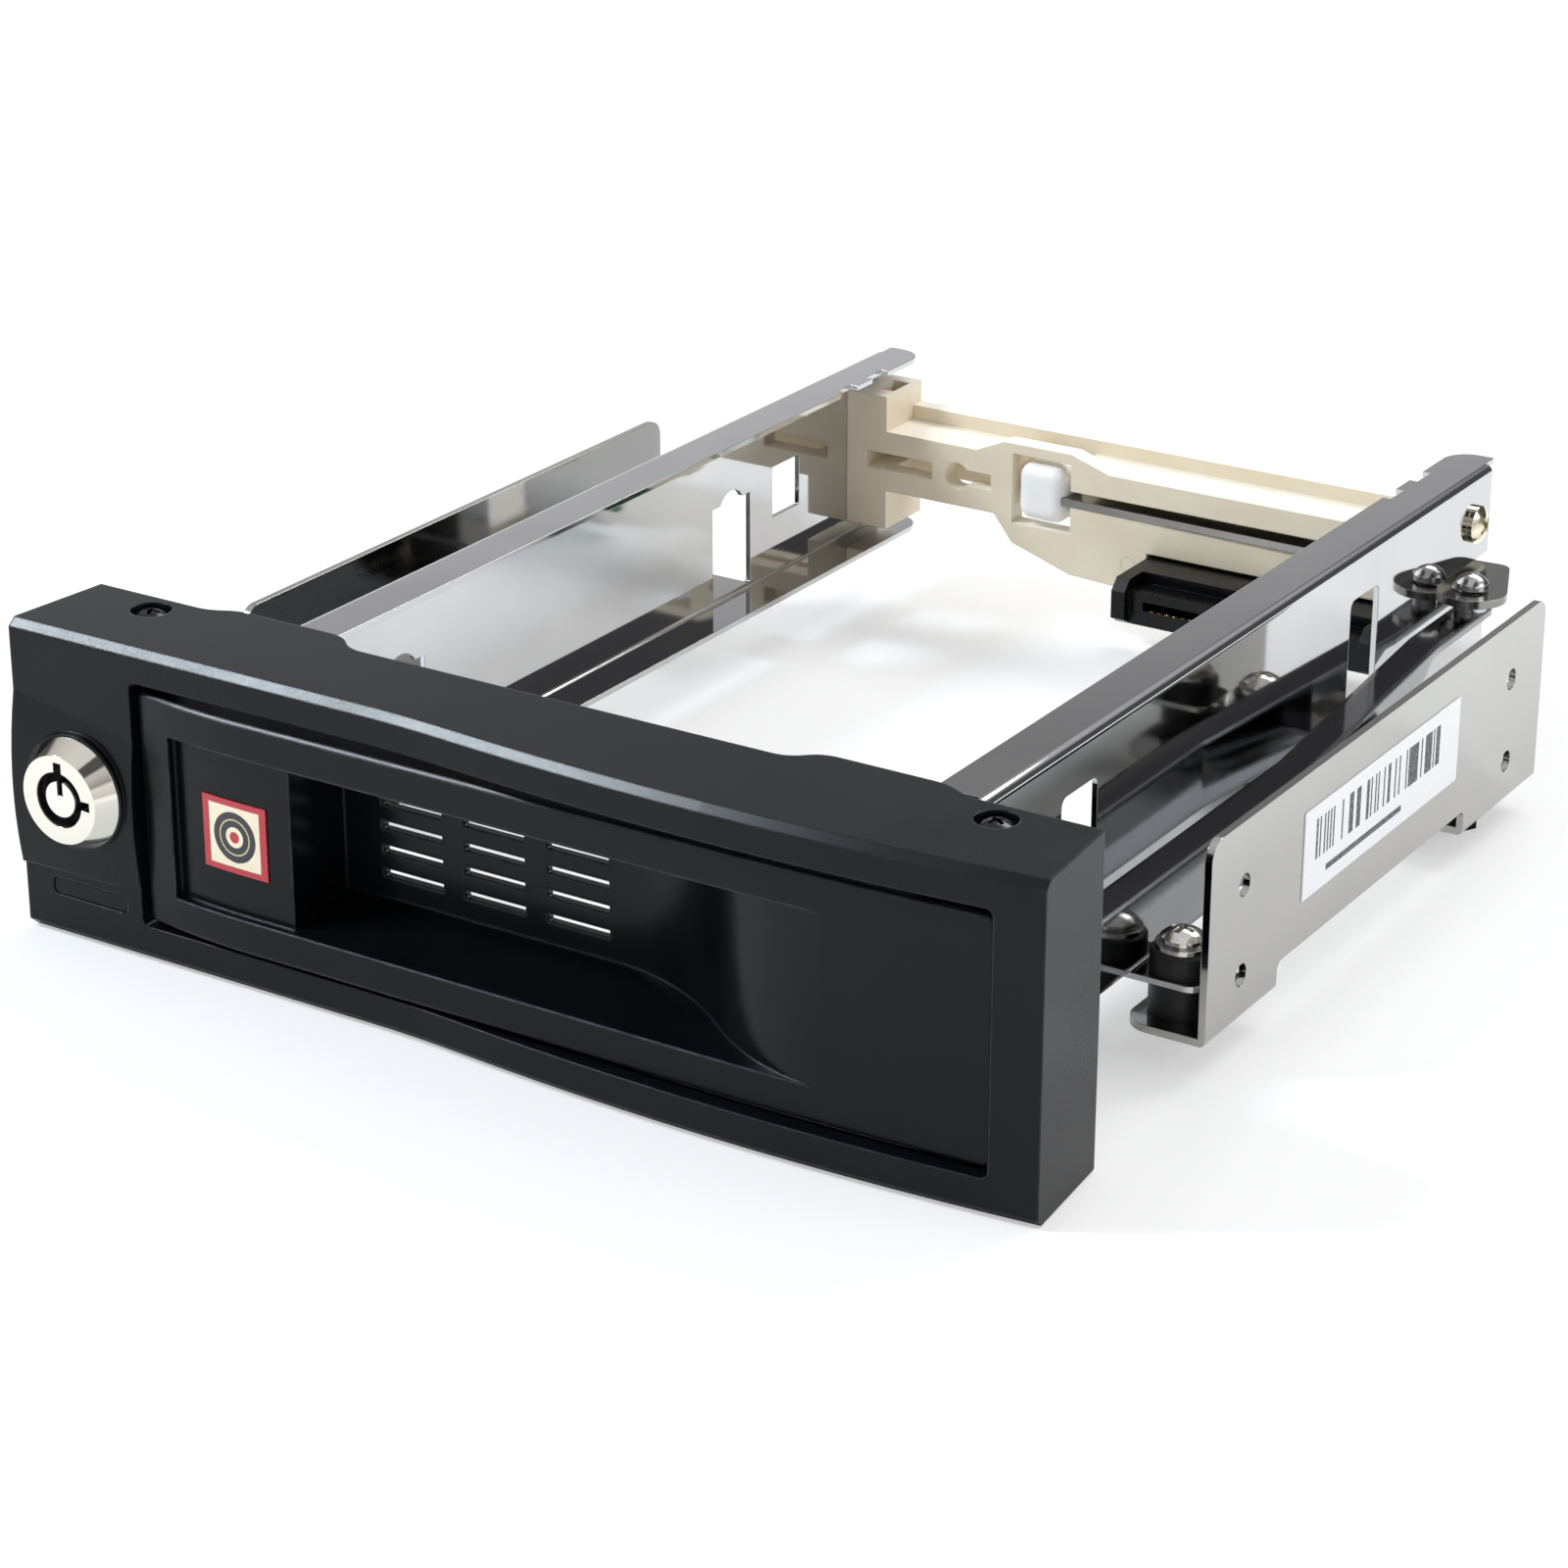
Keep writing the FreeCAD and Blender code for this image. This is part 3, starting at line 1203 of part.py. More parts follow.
def tip_window():
    half = TIP_WIDTH / 2 + TIP_CLEARANCE
    middle = shelf_top + LEVER_SHEET
    high = TIP_HEIGHT / 2 + TIP_CLEARANCE
    return TIP_X - half, TIP_X + half, middle - high, middle + high


def rear_frame():
    """Moulded cross-piece: a channel that holds the lever, tied to both walls."""
    window_left, window_right, window_low, window_high = tip_window()
    web_front = frame_back - FRAME_WEB
    post = -wall_in + FRAME_END_WIDTH
    post_low = BAY_FLOOR + FRAME_END_BOTTOM
    post_top = roof_under - FRAME_END_TOP
    shelf_low = shelf_top - FRAME_SHELF
    back_top = rail_top + FRAME_BACK_RISE
    ledge_low = rail_top - FRAME_SHELF
    pivot = pivot_place()
    solids = [frame_face(), box(-wall_in, post, frame_front, frame_back, post_low, post_top)]
    solids.append(box(window_right, wall_in, frame_front, frame_back, shelf_low, shelf_top))
    solids.append(box(-wall_in, wall_in, web_front, frame_back, shelf_low, back_top))
    solids.append(box(-wall_in, window_left, frame_front, frame_back, ledge_low, rail_top))
    solids.append(box(window_right, wall_in, frame_front, frame_back, ledge_low, rail_top))
    solids.append(box(wall_in - FRAME_END_WIDTH, wall_in, frame_front, frame_back, rail_top, post_top))
    solids.append(rod_z(pivot.x, pivot.y, PIVOT_BOSS_RADIUS, slot_top, rail_top))
    frame = fused(solids)
    before = frame_front - FRAME_PLATE
    cuts = [box(window_left, window_right, before, web_front, window_low, window_high)]
    cuts.append(box(window_right, wall_in, before, web_front, shelf_top, slot_top))
    cuts.append(box(pivot.x, wall_in, web_front, frame_back, shelf_top, slot_top))
    slot_left = -wall_in + FRAME_SLOT_INSET
    slot_right = slot_left + FRAME_SLOT_LENGTH
    slot_high = shelf_top + FRAME_SLOT_HEIGHT
    cuts.append(box(slot_left, slot_right, before, web_front, shelf_top, slot_high))
    keyhole_x = slot_right + KEYHOLE_GAP
    middle = shelf_top + FRAME_SLOT_HEIGHT / 2
    cuts.append(rod_y(keyhole_x, middle, KEYHOLE_RADIUS, before, web_front))
    cuts.append(box(keyhole_x, keyhole_x + KEYHOLE_LENGTH, before, wall_rear,
                    middle - KEYHOLE_SLOT / 2, middle + KEYHOLE_SLOT / 2))
    slot_x = post - FRAME_END_WIDTH / 2
    cuts.append(box(slot_x, slot_x + POST_SLOT_WIDTH, frame_front + FRAME_PLATE, web_front,
                    post_top - POST_SLOT_DEPTH, roof_top))
    gap = CONNECTOR_CLEARANCE
    cuts.append(box(connector_left - gap, connector_right + gap, before, web_front, 0,
                    connector_bottom() + CONNECTOR_HEIGHT + gap))
    cuts.append(rod_z(pivot.x, pivot.y, PIVOT_PIN_RADIUS, 0, rail_top))
    screw_y, screw_z = frame_screw_place()
    screw_hole = rod_x(screw_y, screw_z, SCREW_RADIUS, wall_in - FRAME_SCREW_LENGTH, wall_in)
    cuts += [screw_hole, mirrored(screw_hole)]
    for x in board_screw_places():
        cuts.append(rod_y(x, board_screw_height(), BOARD_SCREW_RADIUS, frame_front, board_front()))
    return frame.cut(cuts)


def rear_frame_screws():
    y, z = frame_screw_place()
    length = FRAME_SCREW_LENGTH + SHEET
    screws = [pan_screw_x(sign * wall_out, y, z, length, sign) for sign in (-1, 1)]
    return Part.makeCompound(screws)


# Connector, board and sockets

def connector_bottom():
    return BAY_FLOOR - CONNECTOR_DROP


def board_front():
    return frame_front + FRAME_PLATE


def drive_connector():
    """Receptacle for the bare drive: base, nose with a stepped tongue slot, and a guide at each end."""
    left = connector_left
    right = connector_right
    low = connector_bottom()
    high = low + CONNECTOR_HEIGHT
    nose_back = drive_rear - CONNECTOR_REACH + CONNECTOR_NOSE
    nose_front = nose_back - CONNECTOR_NOSE
    base = box(left, right, nose_back, board_front(), low, high)
    step = CONNECTOR_HEIGHT / 4
    nose = box(left + CONNECTOR_GUIDE, right - CONNECTOR_GUIDE, nose_front, nose_back, low, high - step)
    solids = [base, nose]
    for x in (left, right - CONNECTOR_GUIDE):
        guide_front = nose_front - CONNECTOR_GUIDE_LEAD
        points = [(nose_back, low), (nose_back, high), (nose_front, high), (guide_front, high - step)]
        points += [(guide_front, low + step / 2), (nose_front, low)]
        solids.append(side(points, x, x + CONNECTOR_GUIDE))
    body = fused(solids)
    tongue_z = low + CONNECTOR_HEIGHT / 3
    tongue_left = left + 2 * CONNECTOR_GUIDE
    tongue_right = right - 2 * CONNECTOR_GUIDE
    tongue_high = tongue_z + TONGUE_SLOT
    long_slot = box(tongue_left, tongue_right, drive_front, nose_back, tongue_z, tongue_high)
    key_left = tongue_right - TONGUE_SLOT
    key = box(key_left, tongue_right, drive_front, nose_back, tongue_z - TONGUE_SLOT, tongue_z)
    return body.cut([long_slot, key])


def board_screw_places():
    return [connector_left - BOARD_SCREW_OUT, connector_right + BOARD_SCREW_OUT]


def board_top():
    return shelf_top - FRAME_SHELF - BOARD_TOP_GAP


def board_screw_height():
    return (BAY_FLOOR + board_top()) / 2


def backplane_board():
    """Board behind the connector, stepped in under the right wall's flange."""
    left = connector_left - BOARD_MARGIN
    right = wall_in - BOARD_SIDE_GAP
    step = BAY_FLOOR + BOARD_SIDE_GAP
    points = [(left, BOARD_BOTTOM), (connector_right, BOARD_BOTTOM), (connector_right, step), (right, step)]
    points += [(right, board_top()), (left, board_top())]
    board = face_on(points, board_front(), board_front() + BOARD_THICKNESS)
    holes = []
    for x in board_screw_places():
        holes.append(rod_y(x, board_screw_height(), BOARD_SCREW_RADIUS, 0, wall_rear))
    return board.cut(holes)


def board_screws():
    screws = []
    back = board_front() + BOARD_THICKNESS
    for x in board_screw_places():
        head = domed_head(0, 0, 0, BOARD_SCREW_HEAD, BOARD_SCREW_HEIGHT)
        head.rotate(vec(0, 0, 0), vec(1, 0, 0), -90)
        head.translate(vec(x, back, board_screw_height()))
        shank = rod_y(x, board_screw_height(), BOARD_SCREW_RADIUS, frame_front, back)
        screws.append(fused([head, shank]))
    return Part.makeCompound(screws)


def cable_socket(left, length):
    """Shrouded socket on the board's back with a flat blade in it."""
    back = board_front() + BOARD_THICKNESS
    end = back + SOCKET_DEPTH
    low = BOARD_BOTTOM + SOCKET_WALL
    shroud = box(left, left + length, back, end, low, low + SOCKET_HEIGHT)
    well = box(left + SOCKET_WALL, left + length - SOCKET_WALL, back + SOCKET_WALL, end,
               low + SOCKET_WALL, low + SOCKET_HEIGHT - SOCKET_WALL)
    middle = low + SOCKET_HEIGHT / 2
    blade = box(left + 2 * SOCKET_WALL, left + length - 2 * SOCKET_WALL, back + SOCKET_WALL,
                end - SOCKET_WALL, middle - SOCKET_BLADE / 2, middle + SOCKET_BLADE / 2)
    return shroud.cut(well.cut(blade))


def data_socket():
    return cable_socket(connector_left + SOCKET_WALL, DATA_SOCKET_LENGTH)


def power_socket():
    return cable_socket(connector_left + SOCKET_WALL + DATA_SOCKET_LENGTH + SOCKET_GAP, POWER_SOCKET_LENGTH)


# Brackets and dampers

def bracket():
    """Right bracket: upright with the bay's side holes and two feet folded in under the dampers."""
    front = BRACKET_FRONT
    rear = front + SIDE_HOLE_SETBACK + SIDE_HOLE_SPACING_Y + BRACKET_TAIL
    low = FOOT_UNDERSIDE
    plate = rounded_box(bracket_in, bracket_out, front, rear, low, BRACKET_TOP, BRACKET_CORNER, 0)
    plate = fused([plate, box(bracket_in, bracket_out, front, rear, low, low + BRACKET_CORNER)])
    notch_front = front + FOOT_FRONT_LENGTH
    notch_rear = rear - FOOT_REAR_LENGTH
    notch = rounded_box(wall_out, bezel_half, notch_front, notch_rear, low - FOOT_NOTCH_RISE,
                        low + FOOT_NOTCH_RISE, FOOT_NOTCH_RISE / 3, 0)
    plate = plate.cut(notch)
    inner = damper_x - FOOT_INSET_X
    feet = []
    for y0, y1 in ((front, notch_front), (notch_rear, rear)):
        flange = rounded_box(inner, bracket_out + FOOT_CORNER, y0, y1, low, foot_top, FOOT_CORNER, 2)
        feet.append(flange.common(box(inner, bracket_out, y0, y1, low, foot_top)))
    shape = fused([plate] + feet)
    bends = []
    for edge in edges_along(shape, 1):
        bounds = edge.BoundBox
        if abs(bounds.XMin - bracket_out) < 1e-6 and abs(bounds.ZMin - low) < 1e-6:
            bends.append(edge)
    shape = shape.makeFillet(BRACKET_BEND, bends)
    foot_hole = DAMPER_SCREW_RADIUS + SCREW_HOLE_CLEARANCE
    cuts = [rod_z(damper_x, y, foot_hole, 0, ear_low) for y in (front_ear_y, rear_ear_y)]
    for i in range(2):
        for j in range(2):
            y = front + SIDE_HOLE_SETBACK + i * SIDE_HOLE_SPACING_Y
            z = SIDE_HOLE_LOW + j * SIDE_HOLE_SPACING_Z
            cuts.append(rod_x(y, z, SIDE_HOLE_RADIUS, wall_out, bezel_half))
    return shape.cut(cuts)


def damper(x, y):
    """Grommet with a waist that the ear sits in."""
    lower = rod_z(x, y, DAMPER_RADIUS, foot_top, ear_low)
    waist = rod_z(x, y, DAMPER_WAIST, ear_low, ear_top)
    upper = rod_z(x, y, DAMPER_RADIUS, ear_top, damper_top)
    rims = [e for e in upper.Edges if e.BoundBox.ZMin > damper_top - 1e-6]
    upper = upper.makeFillet(DAMPER_ROUND, rims)
    return fused([lower, waist, upper]).cut(rod_z(x, y, DAMPER_BORE, 0, reach))


def damper_places():
    return [(x, y) for x in (-damper_x, damper_x) for y in (front_ear_y, rear_ear_y)]


def damper_screws():
    screws = []
    for x, y in damper_places():
        seat = damper_top + DAMPER_WASHER_HEIGHT
        head = domed_head(x, y, seat, SCREW_HEAD_RADIUS, SCREW_HEAD_HEIGHT)
        low = FOOT_UNDERSIDE if y == front_ear_y else FOOT_UNDERSIDE / 4
        shank = rod_z(x, y, DAMPER_SCREW_RADIUS, low, seat)
        screws.append(fused([head, shank]))
    return Part.makeCompound(screws)


def damper_washers():
    rings = []
    for x, y in damper_places():
        ring = rod_z(x, y, DAMPER_WASHER_RADIUS, damper_top, damper_top + DAMPER_WASHER_HEIGHT)
        rings.append(ring.cut(rod_z(x, y, DAMPER_BORE, 0, reach)))
    return Part.makeCompound(rings)


def foot_nuts():
    """Nuts under the rear feet, level with the bezel's lower edge; the front feet are tapped."""
    nuts = []
    for x in (-damper_x, damper_x):
        nut = hexagon_z(x, rear_ear_y, NUT_FLATS, 0, FOOT_UNDERSIDE)
        nuts.append(nut.cut(rod_z(x, rear_ear_y, DAMPER_SCREW_RADIUS, 0, reach)))
    return Part.makeCompound(nuts)


def bracket_label():
    y0 = BRACKET_FRONT + LABEL_SETBACK
    return box(bracket_out, bracket_out + LABEL_THICKNESS, y0, y0 + LABEL_LENGTH, LABEL_BOTTOM,
               LABEL_BOTTOM + LABEL_HEIGHT)


nodes = {
    "bezel": bezel(),
    "bezel_screws": bezel_screws(),
    "door": door(),
    "door_hinge_pins": door_hinge_pins(),
    "door_latch": door_latch(),
    "door_sticker": door_sticker(),
    "lock_housing": lock_housing(),
    "lock_nut": lock_nut(),
    "lock_barrel": lock_barrel(),
    "lock_cam": lock_cam(),
    "lock_cam_screw": lock_cam_screw(),
    "indicator_lens": indicator_lens(),
    "indicator_light": indicator_light(),
    "indicator_board": indicator_board(),
    "left_wall": mirrored(wall(False)),
    "right_wall": wall(True),
    "link_bar": link_bar(),
    "link_pin": link_pin(),
    "ejector_lever": ejector_lever(),
    "ejector_tip": ejector_tip(),
    "ejector_pivot_pin": ejector_pivot_pin(),
    "rear_frame": rear_frame(),
    "rear_frame_screws": rear_frame_screws(),
    "drive_connector": drive_connector(),
    "backplane_board": backplane_board(),
    "board_screws": board_screws(),
    "data_socket": data_socket(),
    "power_socket": power_socket(),
    "left_bracket": mirrored(bracket()),
    "right_bracket": bracket(),
    "front_left_damper": damper(-damper_x, front_ear_y),
    "rear_left_damper": damper(-damper_x, rear_ear_y),
    "front_right_damper": damper(damper_x, front_ear_y),
    "rear_right_damper": damper(damper_x, rear_ear_y),
    "damper_screws": damper_screws(),
    "damper_washers": damper_washers(),
    "foot_nuts": foot_nuts(),
    "bracket_label": bracket_label(),
}

os.makedirs("parts", exist_ok=True)
for name, shape in nodes.items():
    shape.translate(vec(0, -middle_y, 0))
    shape.exportStep("parts/" + name + ".step")
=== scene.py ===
import json
import math

import bmesh
import bpy
from mathutils import Matrix, Vector


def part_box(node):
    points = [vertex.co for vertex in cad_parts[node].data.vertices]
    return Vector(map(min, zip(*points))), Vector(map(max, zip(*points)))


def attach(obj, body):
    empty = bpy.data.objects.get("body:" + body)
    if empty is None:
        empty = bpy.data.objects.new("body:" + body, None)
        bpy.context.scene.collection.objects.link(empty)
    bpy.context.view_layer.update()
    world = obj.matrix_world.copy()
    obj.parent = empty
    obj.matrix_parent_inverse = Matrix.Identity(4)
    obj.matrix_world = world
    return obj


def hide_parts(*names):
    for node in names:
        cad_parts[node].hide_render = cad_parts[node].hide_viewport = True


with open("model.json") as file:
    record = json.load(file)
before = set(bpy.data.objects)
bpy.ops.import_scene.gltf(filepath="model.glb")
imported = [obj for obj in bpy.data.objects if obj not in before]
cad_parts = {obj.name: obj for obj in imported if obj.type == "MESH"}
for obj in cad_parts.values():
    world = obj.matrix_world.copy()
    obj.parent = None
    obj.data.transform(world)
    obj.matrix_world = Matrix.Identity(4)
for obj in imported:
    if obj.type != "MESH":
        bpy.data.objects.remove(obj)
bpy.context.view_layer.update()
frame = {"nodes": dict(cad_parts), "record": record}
nodes = frame["nodes"]

MM = 0.001
UP = Vector((0, 0, 1))
BACK = Vector((0, 1, 0))
RIGHT = Vector((1, 0, 0))
WHITE = (1.0, 1.0, 1.0, 1.0)

# Stretches of a noise's values: most of them, the inner ones, and only the high patches
MOST = (0.3, 0.7)
INNER = (0.35, 0.7)
PATCHES = (0.45, 0.75)

# Screw sizes in millimetres that more than one function needs
BEZEL_SCREW_HEAD = 2.2
LARGE_HEAD = 2.8
LARGE_HEIGHT = 1.9
LARGE_SHANK = 1.5


def corners_of(node):
    """Lowest and highest corner of a node, in metres."""
    low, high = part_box(node)
    return Vector(low), Vector(high)


lock_low, lock_high = corners_of("lock_housing")
lock_axis = (lock_low + lock_high) / 2


def rgba(red, green, blue):
    """Linear colour from eight-bit screen values."""
    def linear(value):
        value = value / 255
        return value / 12.92 if value <= 0.04045 else ((value + 0.055) / 1.055) ** 2.4
    return (linear(red), linear(green), linear(blue), 1.0)


# Material graphs

class Graph:
    """A node tree and the few node shapes that all materials share."""

    def __init__(self, tree):
        self.tree = tree
        self.place = None

    def node(self, kind, values=None, **settings):
        fresh = self.tree.nodes.new(kind)
        for key, value in settings.items():
            setattr(fresh, key, value)
        for key, value in (values or {}).items():
            self.feed(fresh.inputs[key], value)
        return fresh

    def feed(self, socket, value):
        """Link a socket to another one, or set its constant."""
        if isinstance(value, bpy.types.NodeSocket):
            self.tree.links.new(value, socket)
        else:
            socket.default_value = value

    def coords(self):
        if self.place is None:
            self.place = self.node("ShaderNodeTexCoord").outputs["Object"]
        return self.place

    def axes(self):
        return self.node("ShaderNodeSeparateXYZ", {"Vector": self.coords()}).outputs

    def stretched(self, scale):
        mapping = self.node("ShaderNodeMapping", {"Vector": self.coords(), "Scale": scale})
        return mapping.outputs["Vector"]

    def noise(self, scale, detail=3.0, rough=0.55, vector=None):
        """Noise, its scale counted per metre of the part unless a vector is given."""
        values = {"Vector": vector or self.coords(), "Scale": scale, "Detail": detail, "Roughness": rough}
        return self.node("ShaderNodeTexNoise", values).outputs["Fac"]

    def span(self, value, low, high, to_low=0.0, to_high=1.0):
        """Value carried from one stretch to another, held at its ends."""
        values = {"Value": value, "From Min": low, "From Max": high, "To Min": to_low, "To Max": to_high}
        return self.node("ShaderNodeMapRange", values).outputs["Result"]

    def math(self, operation, a, b=0.0):
        fresh = self.node("ShaderNodeMath", operation=operation)
        self.feed(fresh.inputs[0], a)
        self.feed(fresh.inputs[1], b)
        return fresh.outputs["Value"]

    def both(self, a, b):
        return self.math("MULTIPLY", a, b)

    def distance(self, a, b):
        """Length of the hypotenuse over two sides."""
        return self.math("SQRT", self.math("ADD", self.both(a, a), self.both(b, b)))

    def mix(self, factor, a, b):
        """Colour between two others."""
        fresh = self.node("ShaderNodeMix", data_type="RGBA")
        self.feed(fresh.inputs["Factor"], factor)
        self.feed(fresh.inputs[6], a)
        self.feed(fresh.inputs[7], b)
        return fresh.outputs[2]

    def blend(self, factor, a, b):
        """Shader between two others."""
        fresh = self.node("ShaderNodeMixShader", {"Fac": factor})
        self.feed(fresh.inputs[1], a)
        self.feed(fresh.inputs[2], b)
        return fresh.outputs["Shader"]

    def occlusion(self, reach, samples):
        """1 in the open and less where something stands within reach."""
        return self.node("ShaderNodeAmbientOcclusion", {"Distance": reach}, samples=samples).outputs["AO"]

    def bevel(self, radius):
        return self.node("ShaderNodeBevel", {"Radius": radius * MM}, samples=6).outputs["Normal"]

    def bump(self, height, strength, depth, normal=None):
        values = {"Height": height, "Strength": strength, "Distance": depth * MM}
        if normal is not None:
            values["Normal"] = normal
        return self.node("ShaderNodeBump", values).outputs["Normal"]

    def edges(self, soft):
        """Mask that is 1 where a bevelled normal leaves the face's own."""
        flat = 0.995
        turned_away = 0.86
        face = self.node("ShaderNodeNewGeometry").outputs["Normal"]
        dot = self.node("ShaderNodeVectorMath", operation="DOT_PRODUCT")
        self.feed(dot.inputs[0], face)
        self.feed(dot.inputs[1], soft)
        return self.span(dot.outputs["Value"], flat, turned_away)

    def band(self, value, low, high, soft=0.04 * MM):
        """1 between two limits with soft ends."""
        rise = self.span(value, low - soft, low + soft)
        fall = self.span(value, high - soft, high + soft, 1.0, 0.0)
        return self.both(rise, fall)


class Material(Graph):
    """Graph with a ready shader."""

    def __init__(self, name):
        self.material = bpy.data.materials.new(name)
        self.material.use_nodes = True
        super().__init__(self.material.node_tree)
        self.shader = self.tree.nodes["Principled BSDF"]

    def set(self, **values):
        for key, value in values.items():
            self.feed(self.shader.inputs[key.replace("_", " ")], value)


def moulded(name, colour, wear, edge_wear_and_highlight, rough, grain, edge, gloss):
    """Spark-eroded moulded plastic: fine grain, faint cloudiness, and outer edges paler, partly from wear
    and partly as a painted highlight.
    """
    corner_reach = 1.5 * MM
    m = Material(name)
    soft = m.bevel(edge)
    cloud = m.noise(60, 4)
    speck = m.noise(grain, 2, 0.6)
    tone = m.mix(m.span(cloud, 0.35, 0.65, 0.0, 0.3), colour, wear)
    outward = m.span(m.occlusion(corner_reach, 4), 0.7, 0.9)
    # Outer convex edges turn paler: partly wear, partly a painted highlight where edges would catch the key
    # light.
    wear_and_highlight_mask = m.both(m.edges(soft), m.span(m.noise(350), *MOST, 0.1, 0.6))
    half_each = m.math("ADD", m.both(cloud, 0.5), m.both(speck, 0.5))
    m.set(Base_Color=m.mix(m.both(wear_and_highlight_mask, outward), tone, edge_wear_and_highlight), Specular_IOR_Level=gloss)
    m.set(Roughness=m.span(half_each, *MOST, rough - 0.04, rough + 0.05))
    m.set(Normal=m.bump(speck, strength=0.035, depth=0.02, normal=soft))
    return m


def sheet_metal(name, colour, tint, rough, edge=0.15, swell=0.2):
    """Plated sheet with rolling lines along its length, faint waviness and finger haze."""
    across, along = 900, 14
    m = Material(name)
    soft = m.bevel(edge)
    lines = m.noise(1.0, 3, 0.6, m.stretched((across, along, across)))
    haze = m.noise(45, 4, 0.6)
    waves = m.noise(28, 1, 0.4)
    streak = m.span(lines, *MOST, rough * 0.8, rough * 1.25)
    smear = m.span(haze, 0.5, 0.75, 0.0, rough * 0.4)
    m.set(Base_Color=m.mix(m.span(haze, *INNER, 0.0, 0.6), colour, tint), Metallic=1.0)
    m.set(Roughness=m.math("ADD", streak, smear))
    rolled = m.bump(lines, strength=0.03, depth=0.004, normal=soft)
    m.set(Normal=m.bump(waves, strength=swell, depth=0.05, normal=rolled))
    return m


def turned(name, colour, dark, rough):
    """Turned or plated small metal part with a fine grain and dull patches."""
    m = Material(name)
    soft = m.bevel(0.12)
    patch = m.noise(420, 4, 0.6)
    grain = m.noise(4200, 2)
    m.set(Base_Color=m.mix(m.span(patch, *PATCHES, 0.0, 0.7), colour, dark), Metallic=1.0)
    m.set(Roughness=m.span(patch, *MOST, rough * 0.7, rough * 1.4))
    m.set(Normal=m.bump(grain, strength=0.06, depth=0.004, normal=soft))
    return m


def soft_plastic(name, colour, shade, painted_top_light, rough, scatter):
    """Pale nylon: slight depth, flow clouds, a satin skin and upper faces painted paler as light from above.
    """
    m = Material(name)
    soft = m.bevel(0.3)
    cloud = m.noise(90, 4, 0.6)
    grain = m.noise(1800, 2)
    normal = m.node("ShaderNodeNewGeometry").outputs["Normal"]
    # Painted light: faces that look upward are mixed towards a paler colour.
    upward = m.span(m.node("ShaderNodeSeparateXYZ", {"Vector": normal}).outputs["Z"], 0.4, 0.9)
    tone = m.mix(m.span(cloud, *INNER, 0.0, 0.7), colour, shade)
    m.set(Base_Color=m.mix(m.both(upward, m.span(cloud, 0.2, 0.8, 1.0, 0.7)), tone, painted_top_light))
    m.set(Roughness=m.span(cloud, *MOST, rough - 0.06, rough + 0.08))
    m.set(Subsurface_Weight=scatter, Subsurface_Radius=(0.0012, 0.0009, 0.0006), Subsurface_Scale=0.6)
    m.set(Normal=m.bump(grain, strength=0.08, depth=0.01, normal=soft))
    return m


def lock_metal(name, colour, rough, dark_radius, dark_depth):
    """Polished lock metal, with painted shade: black within a radius of the axis and past a depth from the
    lock's front.
    """
    radius = dark_radius * MM
    depth = lock_low.y + dark_depth * MM
    m = Material(name)
    soft = m.bevel(0.18)
    axes = m.axes()
    across = m.math("SUBTRACT", axes["X"], lock_axis.x)
    up = m.math("SUBTRACT", axes["Z"], lock_axis.z)
    inside = m.span(m.distance(across, up), radius, radius - 0.04 * MM)
    hole = m.both(inside, m.span(axes["Y"], depth, depth + 0.1 * MM))
    scuff = m.noise(700, 4, 0.6)
    polish = m.span(scuff, 0.35, 0.75, rough, rough + 0.05)
    # Painted shade: inside the keyway the metal turns black, dull and not metallic.
    m.set(Base_Color=m.mix(hole, colour, rgba(6, 6, 7)))
    m.set(Metallic=m.span(hole, 0.0, 1.0, 1.0, 0.0))
    m.set(Roughness=m.math("ADD", polish, m.both(hole, 0.5)))
    m.set(Normal=m.bump(scuff, strength=0.03, depth=0.004, normal=soft))
    return m


def rubber(name):
    """Black rubber with a grey bloom."""
    m = Material(name)
    soft = m.bevel(0.3)
    bloom = m.noise(500, 4, 0.65)
    grain = m.noise(3500, 2)
    m.set(Base_Color=m.mix(m.span(bloom, *PATCHES, 0.0, 0.6), rgba(9, 9, 10), rgba(24, 24, 24)))
    m.set(Roughness=m.span(bloom, *MOST, 0.45, 0.66))
    m.set(Normal=m.bump(grain, strength=0.2, depth=0.02, normal=soft))
    return m


def lens(name):
    """Smoked lens that looks black while the light behind it is off."""
    m = Material(name)
    soft = m.bevel(0.25)
    cloud = m.noise(300)
    grain = m.noise(2400, 2)
    m.set(Base_Color=m.mix(cloud, rgba(8, 9, 11), rgba(15, 16, 19)), Specular_IOR_Level=0.18)
    m.set(Roughness=m.span(cloud, *MOST, 0.16, 0.22))
    m.set(Normal=m.bump(grain, strength=0.05, depth=0.01, normal=soft))
    return m


def clear_epoxy(name):
    """Clear resin of the small light."""
    m = Material(name)
    cloud = m.noise(900)
    m.set(Base_Color=m.mix(cloud, rgba(220, 228, 235), rgba(190, 205, 220)))
    m.set(Roughness=m.span(cloud, *MOST, 0.08, 0.16), Transmission_Weight=0.7, IOR=1.52)
    return m


def laminate(name):
    """Board with a green mask over copper runs, and the weave faint underneath."""
    m = Material(name)
    soft = m.bevel(0.1)
    axes = m.axes()
    face = m.node("ShaderNodeCombineXYZ", {"X": axes["X"], "Y": axes["Z"]}).outputs["Vector"]
    weave = m.noise(1.0, 2, 0.5, m.stretched((2600, 2600, 900)))
    rows = {"Scale": 260.0, "Mortar Size": 0.035, "Brick Width": 1.7, "Row Height": 0.42}
    runs = m.node("ShaderNodeTexBrick", {"Vector": face, **rows}, offset=0.37, squash=1.0).outputs["Fac"]
    mask = m.mix(m.span(weave, *INNER, 0.0, 0.5), rgba(16, 74, 40), rgba(22, 88, 50))
    m.set(Base_Color=m.mix(runs, mask, rgba(34, 116, 66)))
    m.set(Roughness=m.span(weave, *MOST, 0.28, 0.4))
    m.set(Normal=m.bump(runs, strength=0.2, depth=0.02, normal=soft))
    return m


